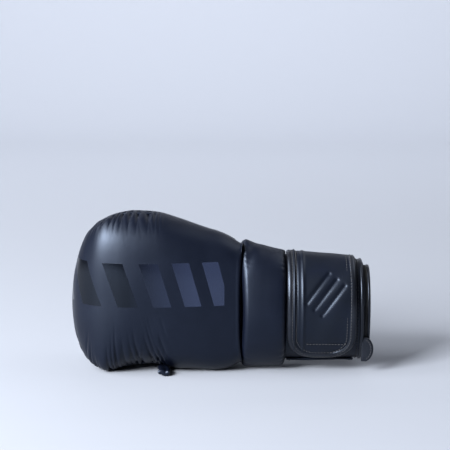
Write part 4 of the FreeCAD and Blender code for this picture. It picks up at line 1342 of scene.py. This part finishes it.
def buildStrapFold():
    # the strap's turn over the thumb side, standing a little proud where it is sewn
    s, t = crossed(packed(60, 0.4), np.linspace(0, 1, 60))
    x = strapSizes["start"] - 0.4 + (strapSizes["end"] - strapSizes["start"] + 0.8) * s
    angle = np.radians(104 - 34 * t)
    out = 1.5 + 0.9 * t + 0.8 * np.sin(np.pi * t)
    fold = panelPiece("strapFold", cuffPoint(x, angle, out)[:, ::-1], 1.8, 1.0)
    fold.data.materials.append(strapLeather)
    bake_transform(fold)


buildStrapFold()


def patchPiece(name, x, angle, out, body, slot, material, node):
    # a flat patch that follows the cuff, with its corners drawn in
    a, b = roundSquare(60, 90, 0.25)
    along, turn = spanAt(x, a), np.radians(spanAt(angle, b))
    patch = panelPiece(name, cuffPoint(along, turn, out), 1.1, 0.8)
    finishPiece(patch, body, slot, material, node)


patchPiece("loopPatch", (66, 121), (-42.5, 46), 0.75, "cuff", "loop_pile", loopPile, "loop_patch")
patchPiece("hookPatch", (68, 119), (-40, 44), 2.1, "strap", "hook_tape", hookTape, "hook_patch")


pullTab = dict(root=131.5, straight=133.9, round=9.3, low=11.2, wide=23.6, middle=23, half=12.1, y=-31.5,
               thick=3.0, edge=1.4, rowX=133.6, rowReach=7.2, rowY=-33.0, rowHalf=9.8)


def buildPullTab():
    # a half round of doubled leather with a row of thread inside its edge, on both faces
    z, t = crossed(packed(50, 0.4), packed(24, 0.4))
    z = pullTab["low"] + pullTab["wide"] * z
    arch = np.sqrt(np.clip(1 - ((z - pullTab["middle"]) / pullTab["half"]) ** 2, 0, 1))
    x = pullTab["root"] + (pullTab["straight"] + pullTab["round"] * arch - pullTab["root"]) * t
    sheet = np.stack([x, pullTab["y"] + 0 * x, z], -1)
    tab = panelPiece("pullTab", sheet, pullTab["thick"], pullTab["edge"])
    finishPiece(tab, "tab", "trim_leather", trimLeather, "pull_tab")
    turn = np.linspace(-1.25, 1.25, 40)
    row = np.stack([pullTab["rowX"] + pullTab["rowReach"] * np.cos(turn), pullTab["rowY"] + 0 * turn,
                    pullTab["middle"] + pullTab["rowHalf"] * np.sin(turn)], 1)
    rows = [stitchPiece("tabRow", row + (0, side, 0), (0, 1 if side else -1, 0), 2.6) for side in (0, 3.0)]
    finishPiece(joinPieces("tabStitches", rows), "tab", "thread", sewingThread)


buildPullTab()
print("strap made")

# floor, lights and camera

stageSizes = dict(half=6.0, depthBack=3.0, rise=3.0, curve=1.2, columns=5)


def buildFloor():
    # a flat floor that turns up into a wall behind: straight, a quarter circle, straight
    turn = np.linspace(0, np.pi / 2, 24)
    curve, back = stageSizes["curve"], stageSizes["depthBack"]
    away = np.concatenate([[-stageSizes["half"]], back - curve + curve * np.sin(turn), [back]])
    up = np.concatenate([[0], curve - curve * np.cos(turn), [stageSizes["rise"]]])
    side = np.linspace(-stageSizes["half"], stageSizes["half"], stageSizes["columns"])
    grid = np.stack(np.broadcast_arrays(side[None], away[:, None], up[:, None]), -1) / mm
    quads = quadsOf(gridIndex(away.size, side.size))[:, ::-1]
    return makePiece("studioFloor", grid.reshape(-1, 3), quads)


def plainMaterial(name, colour, roughness):
    # one colour and one roughness
    material = bpy.data.materials.new(name)
    material.use_nodes = True
    shader = material.node_tree.nodes["Principled BSDF"]
    shader.inputs["Base Color"].default_value = colour
    shader.inputs["Roughness"].default_value = roughness
    return material


studioFloor = buildFloor()
studioFloor.data.materials.append(plainMaterial("studioPaper", (0.207, 0.223, 0.256, 1), 0.75))


def addLight(name, place, target, size, power, colour):
    # a soft rectangle of light that faces its target
    lamp = bpy.data.lights.new(name, "AREA")
    lamp.shape = "RECTANGLE"
    lamp.size, lamp.size_y = size
    lamp.energy = power
    lamp.color = colour
    holder = bpy.data.objects.new(name, lamp)
    holder.location = place
    holder.rotation_euler = (Vector(target) - Vector(place)).to_track_quat("-Z", "Y").to_euler()
    bpy.context.scene.collection.objects.link(holder)


addLight("leftSoftbox", (-1.70, -0.50, 1.95), (-0.07, 0, 0.10), (1.5, 1.3), 64, (0.97, 0.98, 1))
addLight("frontSoftbox", (-1.45, -1.38, 1.08), (-0.07, 0, 0.10), (0.95, 0.95), 238, (0.97, 0.98, 1))
addLight("topSoftbox", (1.1, 0.1, 1.4), (0.15, 0, 0.05), (1.2, 1.0), 9, (0.96, 0.97, 1))
addLight("backWash", (0, 1.7, 1.8), (0, 3, 0.25), (3.6, 1.6), 104, (0.95, 0.96, 1))

world = bpy.data.worlds.new("studioAir")
world.use_nodes = True
world.node_tree.nodes["Background"].inputs["Color"].default_value = (0.86, 0.89, 1, 1)
world.node_tree.nodes["Background"].inputs["Strength"].default_value = 0.11
bpy.context.scene.world = world
bpy.context.scene.view_settings.view_transform = "Standard"

cameraSizes = dict(lens=111.3, distance=1.3, elevation=10, target=(0.003, -0.025, 0.1410))
lens = bpy.data.cameras.new("studioCamera")
lens.sensor_width = 36
lens.lens = cameraSizes["lens"]
tilt = math.radians(cameraSizes["elevation"])
camera = bpy.data.objects.new("studioCamera", lens)
aim = Vector(cameraSizes["target"])
camera.location = aim + cameraSizes["distance"] * Vector((0, -math.cos(tilt), math.sin(tilt)))
camera.rotation_euler = (math.pi / 2 - tilt, 0, 0)
bpy.context.scene.collection.objects.link(camera)
bpy.context.scene.camera = camera
print("stage, lights and camera set")
